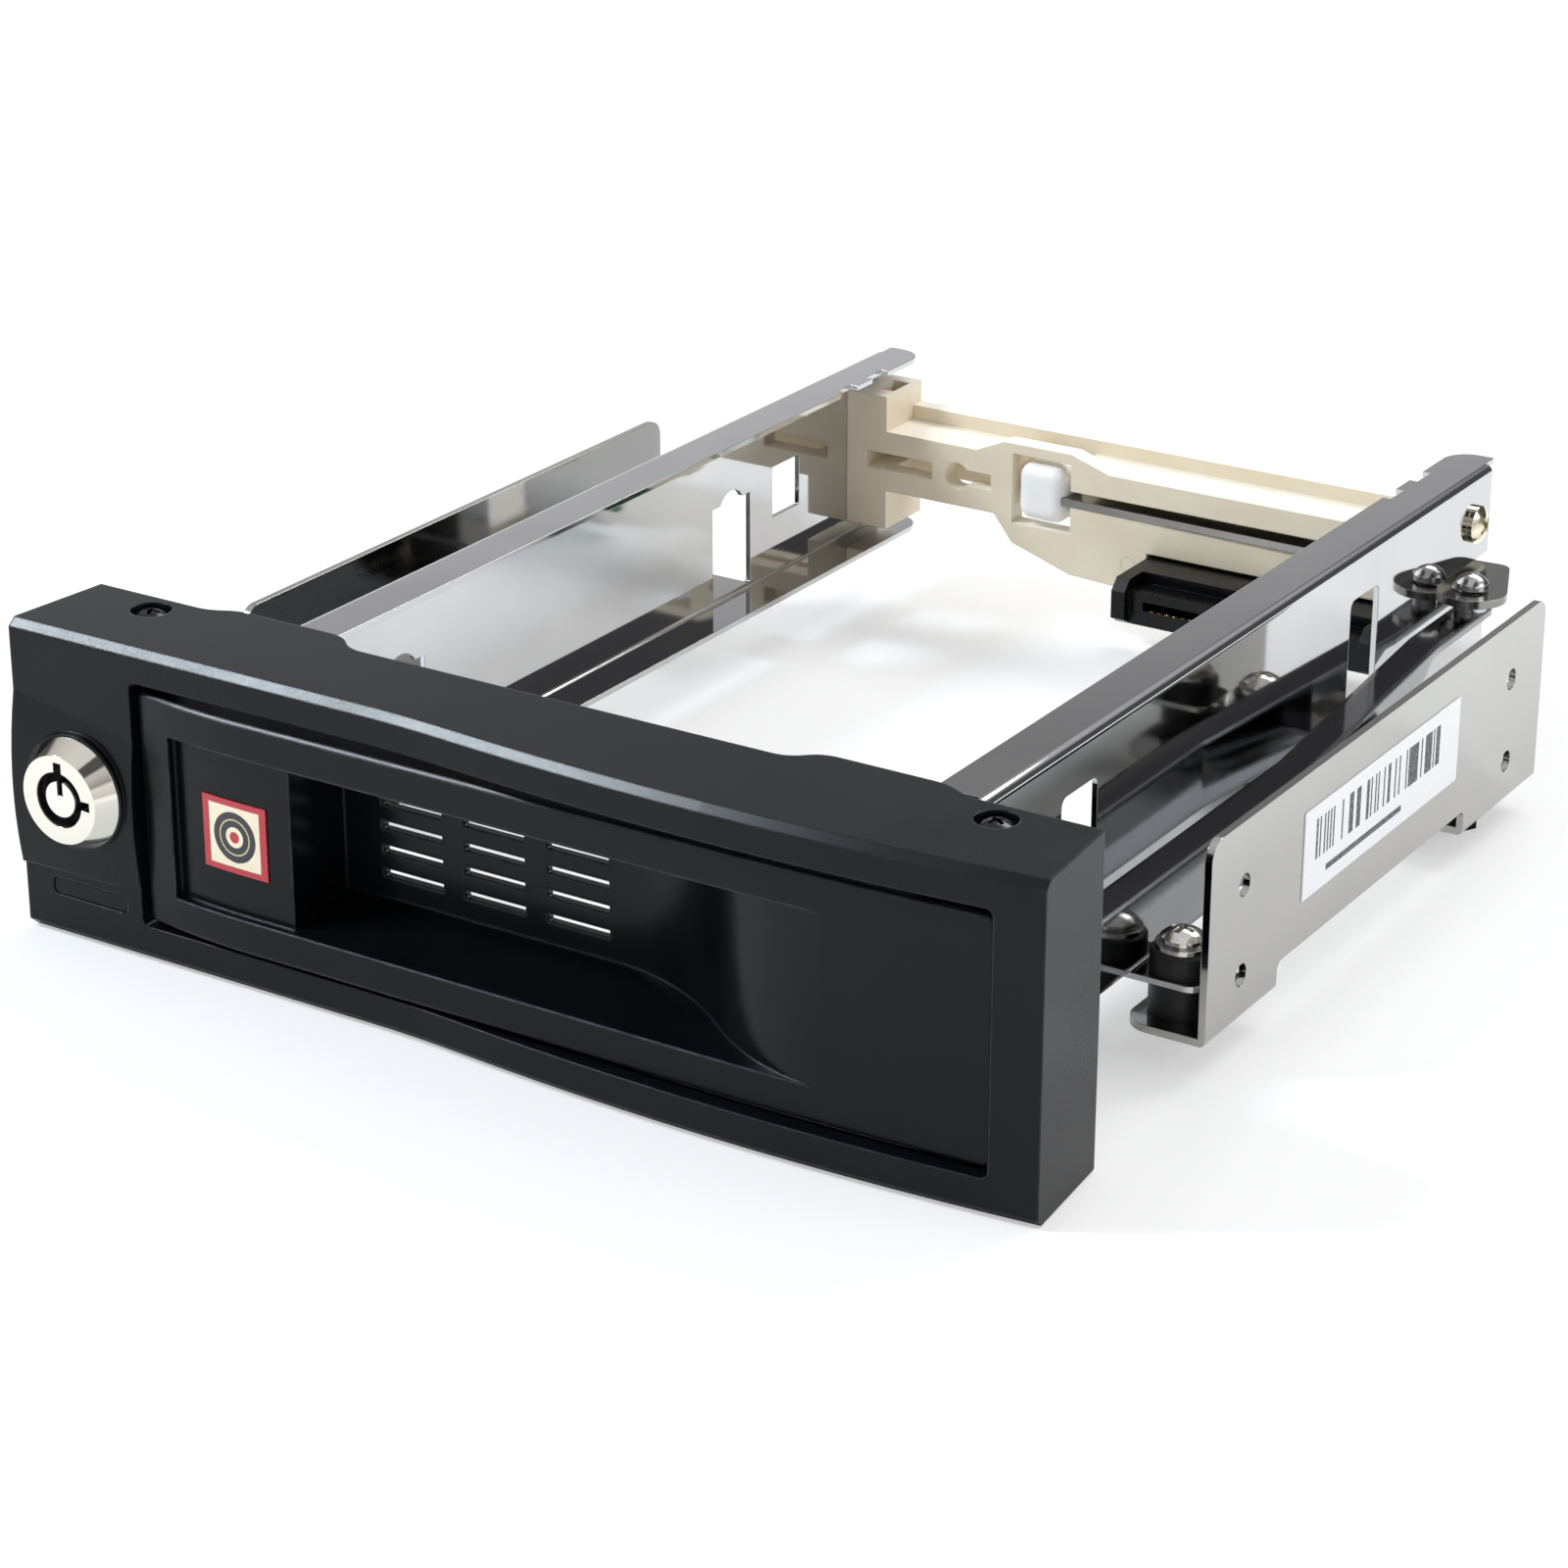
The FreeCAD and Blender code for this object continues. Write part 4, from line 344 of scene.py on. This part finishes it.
def label_paper(name):
    """White label with a band of plain upright bars over a rule, none of which spell anything."""
    low, high = corners_of("bracket_label")
    length = high.y - low.y
    height = high.z - low.z
    margin = 3.2 * MM
    bar_pitch = 0.42 * MM
    blank_share = 0.52
    bars_foot = low.z + height * 0.38
    bars_top = high.z - height * 0.16
    rule_foot = low.z + height * 0.16
    rule_top = low.z + height * 0.23
    rule_end = length * 0.62
    m = Material(name)
    axes = m.axes()
    fibre = m.noise(2200, 3, 0.6)
    along = m.math("SUBTRACT", axes["Y"], low.y)
    step = m.math("FLOOR", m.both(along, 1 / bar_pitch))
    chance = m.node("ShaderNodeTexWhiteNoise", {"W": step}, noise_dimensions="1D").outputs["Value"]
    bars = m.math("GREATER_THAN", chance, blank_share)
    field = m.both(m.band(along, margin, length - margin), m.band(axes["Z"], bars_foot, bars_top))
    rule = m.both(m.band(along, margin * 2, rule_end), m.band(axes["Z"], rule_foot, rule_top))
    ink = m.math("MAXIMUM", m.both(bars, field), rule)
    thin = m.both(ink, m.span(fibre, 0.25, 0.6, 0.75, 1.0))
    paper = m.mix(m.span(fibre, *INNER, 0.0, 0.5), rgba(235, 235, 237), rgba(226, 226, 229))
    m.set(Base_Color=m.mix(thin, paper, rgba(40, 38, 46)))
    m.set(Roughness=m.span(fibre, *MOST, 0.38, 0.52))
    m.set(Normal=m.bump(fibre, strength=0.06, depth=0.01))
    return m


def sticker_film(name):
    """Printed film with a plain platter drawn as rings inside a red frame."""
    low, high = corners_of("door_sticker")
    middle = (low + high) / 2
    half = (high.x - low.x) / 2
    m = Material(name)
    axes = m.axes()
    across = m.math("SUBTRACT", axes["X"], middle.x)
    up = m.math("SUBTRACT", axes["Z"], middle.z)
    far = m.math("MAXIMUM", m.math("ABSOLUTE", across), m.math("ABSOLUTE", up))
    radius = m.distance(across, up)
    border = m.span(far, half * 0.78, half * 0.80)
    platter = m.band(radius, half * 0.27, half * 0.66)
    track = m.band(radius, half * 0.44, half * 0.48)
    hub = m.span(radius, half * 0.16, half * 0.14)
    grain = m.noise(1500)
    cream = m.mix(m.span(grain, *INNER), rgba(238, 226, 200), rgba(226, 212, 182))
    red = m.mix(grain, rgba(186, 34, 46), rgba(160, 26, 38))
    tone = m.mix(platter, cream, rgba(26, 26, 32))
    tone = m.mix(track, tone, rgba(196, 178, 140))
    tone = m.mix(hub, tone, rgba(176, 30, 40))
    m.set(Base_Color=m.mix(border, tone, red), Roughness=m.span(grain, *MOST, 0.22, 0.34))
    m.set(Coat_Weight=0.3, Coat_Roughness=0.1)
    m.set(Normal=m.bump(grain, strength=0.04, depth=0.01))
    return m


finishes = {
    "bezel_plastic": moulded("charcoal_shell", rgba(8, 10, 13), wear=rgba(18, 20, 24), edge_wear_and_highlight=rgba(70, 75, 84),
                             rough=0.24, grain=2600, edge=0.4, gloss=0.18),
    "door_plastic": moulded("charcoal_door", rgba(7, 9, 12), wear=rgba(17, 19, 23), edge_wear_and_highlight=rgba(92, 97, 108),
                            rough=0.22, grain=2900, edge=0.6, gloss=0.18),
    "connector_plastic": moulded("connector_black", rgba(6, 6, 7), wear=rgba(13, 13, 15),
                                 edge_wear_and_highlight=rgba(34, 34, 36), rough=0.28, grain=4200, edge=0.15, gloss=0.2),
    "bright_sheet": sheet_metal("bright_nickel", rgba(200, 200, 200), tint=rgba(187, 187, 188), rough=0.045),
    "bracket_steel": sheet_metal("satin_nickel", rgba(184, 183, 179), tint=rgba(177, 176, 172), rough=0.07,
                                 swell=0.03),
    "lever_steel": sheet_metal("lever_steel", rgba(150, 149, 146), tint=rgba(120, 119, 116), rough=0.16),
    "pin_steel": turned("pin_steel", rgba(200, 200, 200), dark=rgba(120, 118, 114), rough=0.14),
    "screw_steel": turned("zinc_screw", rgba(215, 213, 206), dark=rgba(150, 146, 136), rough=0.14),
    "dark_nut": turned("black_nut", rgba(42, 42, 45), dark=rgba(20, 20, 22), rough=0.34),
    "frame_nylon": soft_plastic("cream_nylon", rgba(228, 216, 193), shade=rgba(220, 205, 179),
                                painted_top_light=rgba(241, 235, 221), rough=0.42, scatter=0.1),
    "tip_nylon": soft_plastic("white_nylon", rgba(242, 241, 238), shade=rgba(234, 232, 227),
                              painted_top_light=rgba(244, 243, 240), rough=0.36, scatter=0.2),
    "lock_chrome": lock_metal("lock_chrome", rgba(228, 223, 211), rough=0.03,
                              dark_radius=3.78, dark_depth=0.15),
    "lock_core": lock_metal("lock_core", rgba(232, 228, 218), rough=0.08,
                            dark_radius=9.0, dark_depth=0.5),
    "damper_rubber": rubber("damper_rubber"),
    "lens_plastic": lens("smoked_lens"),
    "light_plastic": clear_epoxy("clear_epoxy"),
    "board_laminate": laminate("board_laminate"),
    "label_paper": label_paper("label_paper"),
    "sticker_print": sticker_film("sticker_film"),
}
bar_steel = sheet_metal("bar_steel", rgba(146, 147, 150), tint=rgba(126, 127, 130), rough=0.09, edge=1.1)
contact_gold = turned("contact_gold", rgba(226, 184, 96), dark=rgba(190, 142, 66), rough=0.18)
yellow_zinc = turned("yellow_zinc", rgba(232, 224, 200), dark=rgba(96, 80, 52), rough=0.06)
black_screw = turned("black_screw", rgba(58, 58, 62), dark=rgba(20, 20, 22), rough=0.2)

slots = {entry["node"]: entry["material_slot"] for entry in frame["record"]["subparts"]}
for name, piece in nodes.items():
    piece.data.materials.clear()
    piece.data.materials.append(finishes[slots[name]].material)
nodes["link_bar"].data.materials[0] = bar_steel.material


# Mesh helpers

def linked_object(mesh, name):
    """Object in the scene from a mesh, which is used up."""
    data = bpy.data.meshes.new(name)
    mesh.to_mesh(data)
    mesh.free()
    piece = bpy.data.objects.new(name, data)
    bpy.context.scene.collection.objects.link(piece)
    return piece


def face_outward(mesh):
    bmesh.ops.recalc_face_normals(mesh, faces=mesh.faces)


def round_edges(mesh, radius, segments):
    face_outward(mesh)
    bmesh.ops.bevel(mesh, geom=mesh.edges[:], offset=radius * MM, segments=segments, affect="EDGES")


def finish_piece(mesh, name, graph):
    """Piece on the cage from a mesh, with a material and smooth shading over shallow edges."""
    smooth_under = math.radians(40)
    piece = linked_object(mesh, name)
    piece.data.materials.append(graph.material)
    piece.data.shade_smooth()
    piece.data.set_sharp_from_angle(angle=smooth_under)
    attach(piece, "cage")
    return piece


def aimed(place, axis):
    """Matrix that stands a shape made along z at a place, along an axis."""
    return Matrix.Translation(place) @ axis.to_track_quat("Z", "Y").to_matrix().to_4x4()


def lathe(mesh, profile, turns, matrix):
    """Closed solid of revolution about z from (radius, height) pairs in millimetres, placed by a matrix."""
    rings = []
    for radius, height in profile:
        radius = radius * MM
        height = height * MM
        if radius < 1e-9:
            rings.append([mesh.verts.new(matrix @ Vector((0, 0, height)))] * turns)
            continue
        ring = []
        for i in range(turns):
            angle = 2 * math.pi * i / turns
            point = Vector((radius * math.cos(angle), radius * math.sin(angle), height))
            ring.append(mesh.verts.new(matrix @ point))
        rings.append(ring)
    for low, high in zip(rings, rings[1:]):
        for i in range(turns):
            j = (i + 1) % turns
            corners = []
            for vert in (low[i], low[j], high[j], high[i]):
                if vert not in corners:
                    corners.append(vert)
            if len(corners) > 2:
                mesh.faces.new(corners)


def closed_band(mesh, first, second):
    """Solid between two outlines that have the same number of points."""
    mesh.faces.new(first)
    mesh.faces.new(list(reversed(second)))
    for i in range(len(first)):
        j = (i + 1) % len(first)
        mesh.faces.new((first[j], first[i], second[i], second[j]))


def block(mesh, low, high):
    corners = []
    for x in (low.x, high.x):
        for y in (low.y, high.y):
            for z in (low.z, high.z):
                corners.append(mesh.verts.new((x, y, z)))
    for quad in ((0, 1, 3, 2), (4, 6, 7, 5), (0, 4, 5, 1), (2, 3, 7, 6), (0, 2, 6, 4), (1, 5, 7, 3)):
        mesh.faces.new([corners[i] for i in quad])


def carved(solid, cutter):
    """Mesh of one object less another; both objects are used up."""
    change = solid.modifiers.new("cut", "BOOLEAN")
    change.operation = "DIFFERENCE"
    change.solver = "EXACT"
    change.object = cutter
    bpy.context.view_layer.update()
    graph = bpy.context.evaluated_depsgraph_get()
    result = bmesh.new()
    result.from_mesh(solid.evaluated_get(graph).to_mesh())
    for used in (solid, cutter):
        data = used.data
        bpy.data.objects.remove(used)
        bpy.data.meshes.remove(data)
    return result


# Screws, on the seats of the plain ones that they replace

def cross_recess(head, height, matrix):
    """Tapered cross that a driver fits, to be cut from a screw's head."""
    arm = head * 0.62
    wide = head * 0.15
    depth = height * 0.75
    clear = 0.2
    taper = 0.55
    outline = [(wide, arm), (wide, wide), (arm, wide), (arm, -wide), (wide, -wide), (wide, -arm)]
    outline += [(-x, -y) for x, y in outline]
    cutter = bmesh.new()
    top = []
    foot = []
    for x, y in outline:
        high = Vector((x * MM, y * MM, (height + clear) * MM))
        deep = Vector((x * taper * MM, y * taper * MM, (height - depth) * MM))
        top.append(cutter.verts.new(matrix @ high))
        foot.append(cutter.verts.new(matrix @ deep))
    closed_band(cutter, top, foot)
    face_outward(cutter)
    return cutter


def screw_profile(head, height, shank, length):
    """(radius, height) pairs of a round-headed screw from its point to the top of its head."""
    rounds = 7
    dome = height * 0.6
    ball = (head ** 2 + dome ** 2) / (2 * dome)
    point = shank * 0.8
    taper = shank * 0.4
    profile = [(0, -length), (point, -length), (shank, -length + taper), (shank, 0), (head, 0)]
    profile.append((head, height - dome))
    for i in range(1, rounds + 1):
        radius = head * (1 - i / rounds)
        profile.append((radius, height - ball + math.sqrt(ball ** 2 - radius ** 2)))
    return profile


def cross_screws(places, head, height, shank):
    """Screws in one mesh; a place is a seat, an axis, a spin in degrees and a length under the head."""
    turns = 40
    whole = bmesh.new()
    for seat, axis, spin, length in places:
        matrix = aimed(seat, axis) @ Matrix.Rotation(math.radians(spin), 4, "Z")
        solid = bmesh.new()
        lathe(solid, screw_profile(head, height, shank, length), turns, matrix)
        face_outward(solid)
        cutter = linked_object(cross_recess(head, height, matrix), "screw_cutter")
        cut = carved(linked_object(solid, "screw_blank"), cutter)
        part = bpy.data.meshes.new("screw_part")
        cut.to_mesh(part)
        cut.free()
        whole.from_mesh(part)
        bpy.data.meshes.remove(part)
    return whole


def bezel_screws():
    head, height, shank = BEZEL_SCREW_HEAD, 1.2, 1.3
    left_spin, right_spin = 20, 65
    low, high = corners_of("bezel_screws")
    y = (low.y + high.y) / 2
    out = high.x - head * MM
    seat = high.z - height * MM
    length = (seat - low.z) / MM
    places = []
    for x, spin in ((-out, left_spin), (out, right_spin)):
        places.append((Vector((x, y, seat)), UP, spin, length))
    mesh = cross_screws(places, head, height, shank)
    piece = finish_piece(mesh, "bezel_screw_heads", black_screw)
    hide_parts("bezel_screws")


def damper_screws():
    """The front screws end in the tapped feet, and the rear ones reach down into the nuts."""
    front_length = 10.0
    first_spin, spin_step = 17, 31
    low, high = corners_of("damper_screws")
    out = high.x - LARGE_HEAD * MM
    seat = high.z - LARGE_HEIGHT * MM
    front = (low.y + LARGE_HEAD * MM, front_length)
    rear = (high.y - LARGE_HEAD * MM, (seat - low.z) / MM)
    places = []
    for x in (-out, out):
        for y, length in (front, rear):
            spin = first_spin + spin_step * len(places)
            places.append((Vector((x, y, seat)), UP, spin, length))
    mesh = cross_screws(places, LARGE_HEAD, LARGE_HEIGHT, LARGE_SHANK)
    piece = finish_piece(mesh, "damper_screw_set", finishes["screw_steel"])
    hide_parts("damper_screws")


def frame_screws():
    length = 6.8
    left_spin, right_spin = 12, 40
    low, high = corners_of("rear_frame_screws")
    middle = (low + high) / 2
    out = high.x - LARGE_HEIGHT * MM
    places = []
    for x, axis, spin in ((-out, -RIGHT, left_spin), (out, RIGHT, right_spin)):
        places.append((Vector((x, middle.y, middle.z)), axis, spin, length))
    mesh = cross_screws(places, LARGE_HEAD, LARGE_HEIGHT, LARGE_SHANK)
    piece = finish_piece(mesh, "frame_screw_pair", yellow_zinc)
    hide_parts("rear_frame_screws")


def board_screws():
    """The board's screws, and closed ends for their holes, flush with the rear frame's front."""
    head, height, shank = 2.1, 1.3, 1.2
    left_spin, right_spin = 25, 70
    end_thick = 0.9
    turns = 32
    low, high = corners_of("board_screws")
    z = (low.z + high.z) / 2
    seat = high.y - height * MM
    length = (seat - low.y) / MM - end_thick
    places = []
    ends = bmesh.new()
    for x, spin in ((low.x + head * MM, left_spin), (high.x - head * MM, right_spin)):
        places.append((Vector((x, seat, z)), BACK, spin, length))
        disc = [(0, 0), (shank, 0), (shank, end_thick), (0, end_thick)]
        lathe(ends, disc, turns, aimed(Vector((x, low.y, z)), BACK))
    mesh = cross_screws(places, head, height, shank)
    piece = finish_piece(mesh, "board_screw_pair", finishes["screw_steel"])
    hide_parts("board_screws")
    face_outward(ends)
    finish_piece(ends, "frame_hole_ends", finishes["frame_nylon"])


bezel_screws()
damper_screws()
frame_screws()
board_screws()


# Small pieces that the solids leave out

def boss_gusset():
    """Rib inside the bezel in front of its left screw boss, which closes the view past the door's corner."""
    ahead_of_screw = 4.6 * MM
    under_top = 2.75 * MM
    thick = 1.2 * MM
    half = 4.2 * MM
    drop = 8.6 * MM
    nick = 2.0 * MM
    low, high = corners_of("bezel_screws")
    boss = low.x + BEZEL_SCREW_HEAD * MM
    front = (low.y + high.y) / 2 - ahead_of_screw
    top = corners_of("bezel")[1].z - under_top
    outline = [(half, 0), (-half, 0), (-half, -drop + nick), (-half + nick, -drop), (half - nick, -drop)]
    outline.append((half, -drop + nick))
    mesh = bmesh.new()
    sides = []
    for y in (front, front + thick):
        sides.append([mesh.verts.new((boss + x, y, top + z)) for x, z in outline])
    closed_band(mesh, *sides)
    round_edges(mesh, 0.15, segments=2)
    finish_piece(mesh, "boss_gusset", finishes["bezel_plastic"])


boss_gusset()


def contact_row(name, start, count, length, thick):
    """Gold strips side by side, each running back from its start."""
    pitch = 1.27
    width = 0.8
    mesh = bmesh.new()
    for i in range(count):
        low = start + Vector((pitch * i, 0, 0)) * MM
        block(mesh, low, low + Vector((width, length, thick)) * MM)
    round_edges(mesh, 0.03, segments=1)
    finish_piece(mesh, name, contact_gold)


def contacts():
    """Contacts in the drive connector's slot and on the blades of the two sockets."""
    slot_start = Vector((5.4, 1.8, 2.15)) * MM
    blade_in = 3.0 * MM
    blade_back = 1.5 * MM
    blade_up = 0.6 * MM
    connector_low = corners_of("drive_connector")[0]
    contact_row("drive_contacts", connector_low + slot_start, count=26, length=3.5, thick=0.15)
    for node, count in (("data_socket", 7), ("power_socket", 13)):
        low, high = corners_of(node)
        start = Vector((low.x + blade_in, low.y + blade_back, (low.z + high.z) / 2 + blade_up))
        contact_row(node + "_contacts", start, count, length=4.6, thick=0.08)


contacts()


# Stage, light and camera

def floor_paint():
    """Pale paint that keeps the shadow.

    It also glows in reflections out in the open, less where the object crowds it, as painted shade,
    and in reflections the strip beside the left bracket shows a painted shadow.
    """
    near, far = 0.3, 1.0
    near_glow = 0.45
    crowded = 0.04
    mirror_glow = 0.3
    strip_left, strip_right = -0.105, -0.055
    strip_front, strip_back = -0.02, 0.085
    strip_share = 0.9
    m = Material("pale_floor")
    axes = m.axes()
    path = m.node("ShaderNodeLightPath").outputs
    seen = m.math("MAXIMUM", path["Is Camera Ray"], path["Is Transmission Ray"])
    seen = m.both(seen, m.span(m.distance(axes["X"], axes["Y"]), near, far, near_glow, 1.0))
    in_open = m.occlusion(crowded, 8)
    # Painted shade: in reflections the glow drops with the square of the occlusion near the object.
    mirrored = m.both(path["Is Glossy Ray"], m.both(m.both(in_open, in_open), mirror_glow))
    paper = m.node("ShaderNodeBsdfDiffuse", {"Color": (0.95, 0.95, 0.95, 1.0)}).outputs["BSDF"]
    glow = m.node("ShaderNodeEmission", {"Color": WHITE, "Strength": 1.0}).outputs["Emission"]
    pale = m.blend(m.math("ADD", seen, mirrored), paper, glow)
    # Painted shadow: seen in reflections, a dark strip of floor beside the left bracket.
    wide = m.band(axes["X"], strip_left, strip_right, soft=0.012)
    deep = m.band(axes["Y"], strip_front, strip_back, soft=0.015)
    strip = m.both(path["Is Glossy Ray"], m.both(m.both(wide, deep), strip_share))
    dark = m.node("ShaderNodeBsdfDiffuse", {"Color": (0.02, 0.02, 0.03, 1.0)}).outputs["BSDF"]
    m.feed(m.tree.nodes["Material Output"].inputs["Surface"], m.blend(strip, pale, dark))
    return m


def floor():
    reach = 4.0
    under_part = 0.0002
    mesh = bmesh.new()
    corners = ((-reach, -reach), (reach, -reach), (reach, reach), (-reach, reach))
    mesh.faces.new([mesh.verts.new((x, y, 0)) for x, y in corners])
    face_outward(mesh)
    plane = linked_object(mesh, "floor")
    plane.location.z = -under_part
    plane.data.materials.append(floor_paint().material)


floor()


def sky():
    """Soft room, dim at the right back, with two dark flags that metals mirror; white to the eye."""
    horizon = (0.02, (0.75, 0.75, 0.76, 1.0))
    overhead = (1.0, (0.8, 0.81, 0.84, 1.0))
    heights_and_tones = ((0.28, 0.9), (0.33, 0.7), (0.38, 0.36), (0.6, 0.6))
    shade_colour = (0.1, 0.1, 0.105, 1.0)
    world = bpy.data.worlds.new("soft_room")
    bpy.context.scene.world = world
    world.use_nodes = True
    g = Graph(world.node_tree)
    direction = g.node("ShaderNodeTexCoord").outputs["Generated"]
    axes = g.node("ShaderNodeSeparateXYZ", {"Vector": direction}).outputs
    rising = g.node("ShaderNodeValToRGB", {"Fac": axes["Z"]})
    stops = rising.color_ramp.elements
    for stop, (height, colour) in zip(stops, (horizon, overhead)):
        stop.position = height
        stop.color = colour
    for height, tone in heights_and_tones:
        stops.new(height).color = (tone, tone, tone * 1.02, 1.0)
    low = g.span(axes["Z"], 0.42, 0.52, 1.0, 0.0)
    rear = g.span(axes["Y"], 0.2, 0.7)
    right = g.span(axes["X"], -0.65, 0.0)
    dim = g.both(g.both(low, rear), right)
    left_flag = g.both(g.span(axes["X"], -0.74, -0.82), g.span(axes["Z"], 0.5, 0.4))
    high_flag = g.both(g.band(axes["X"], 0.3, 0.62, 0.03), g.band(axes["Y"], -0.55, 0.05, 0.03))
    high_flag = g.both(high_flag, g.span(axes["Z"], 0.5, 0.6))
    shade = g.math("MAXIMUM", dim, g.math("MAXIMUM", left_flag, high_flag))
    room = g.mix(shade, rising.outputs["Color"], shade_colour)
    seen = g.node("ShaderNodeLightPath").outputs["Is Camera Ray"]
    background = g.tree.nodes["Background"]
    g.feed(background.inputs["Color"], g.mix(seen, room, WHITE))
    background.inputs["Strength"].default_value = 1.0


sky()


def softbox(name, place, target, along, width, height, power, tint=(1.0, 1.0, 1.0)):
    """Soft light at a place, facing a target, its width running along a direction."""
    data = bpy.data.lights.new(name, "AREA")
    data.shape = "RECTANGLE"
    data.size = width
    data.size_y = height
    data.energy = power
    data.color = tint
    lamp = bpy.data.objects.new(name, data)
    bpy.context.scene.collection.objects.link(lamp)
    normal = (Vector(place) - Vector(target)).normalized()
    across = Vector(along).cross(normal).normalized()
    turn = Matrix((normal.cross(across), across * -1, normal)).transposed()
    lamp.matrix_world = Matrix.Translation(place) @ turn.to_4x4()


def lights():
    """The key light stands where the bezel's chamfered top edge mirrors it to the camera."""
    middle = (0.0, 0.0, 0.02)
    softbox("key", place=(-0.80, -0.515, 0.88), target=(-0.03, -0.08, 0.04), along=(0.386, -0.074, 0.144),
            width=0.40, height=0.16, power=13.0, tint=(0.82, 0.92, 1.0))
    softbox("side", place=(1.1, 0.2, 0.65), target=middle, along=(0.0, 1.0, 0.0),
            width=0.8, height=0.6, power=3.5)
    softbox("rear", place=(0.15, 0.8, 0.95), target=middle, along=(1.0, 0.0, 0.0),
            width=0.9, height=0.5, power=8.0)


lights()


def camera():
    """The photograph's camera, solved from the bay's standard sizes on its 1600 pixel wide picture.

    The solution's y starts at the flat left part of the bezel, which the lock stands proud of.
    """
    picture = 1600
    focus = 4170.4
    centre_x, centre_y = 793.2, 740.1
    lock_proud = 4.15
    eye_x, eye_y, eye_z = 265.358, -351.207, 222.744
    right = Vector((0.841744, 0.539877, 0.0))
    forward = Vector((-0.500046, 0.779605, -0.377055))
    data = bpy.data.cameras.new("camera")
    data.sensor_fit = "HORIZONTAL"
    data.sensor_width = 36.0
    data.lens = focus / picture * data.sensor_width
    data.shift_x = (picture / 2 - centre_x) / picture
    data.shift_y = (centre_y - picture / 2) / picture
    data.clip_start = 0.01
    data.clip_end = 20.0
    eye = bpy.data.objects.new("camera", data)
    bpy.context.scene.collection.objects.link(eye)
    bezel_y = lock_low.y + lock_proud * MM
    place = Vector((eye_x * MM, eye_y * MM + bezel_y, eye_z * MM))
    turn = Matrix((right, right.cross(forward), -forward)).transposed()
    eye.matrix_world = Matrix.Translation(place) @ turn.to_4x4()
    bpy.context.scene.camera = eye


camera()
bpy.context.scene.view_settings.view_transform = "Standard"
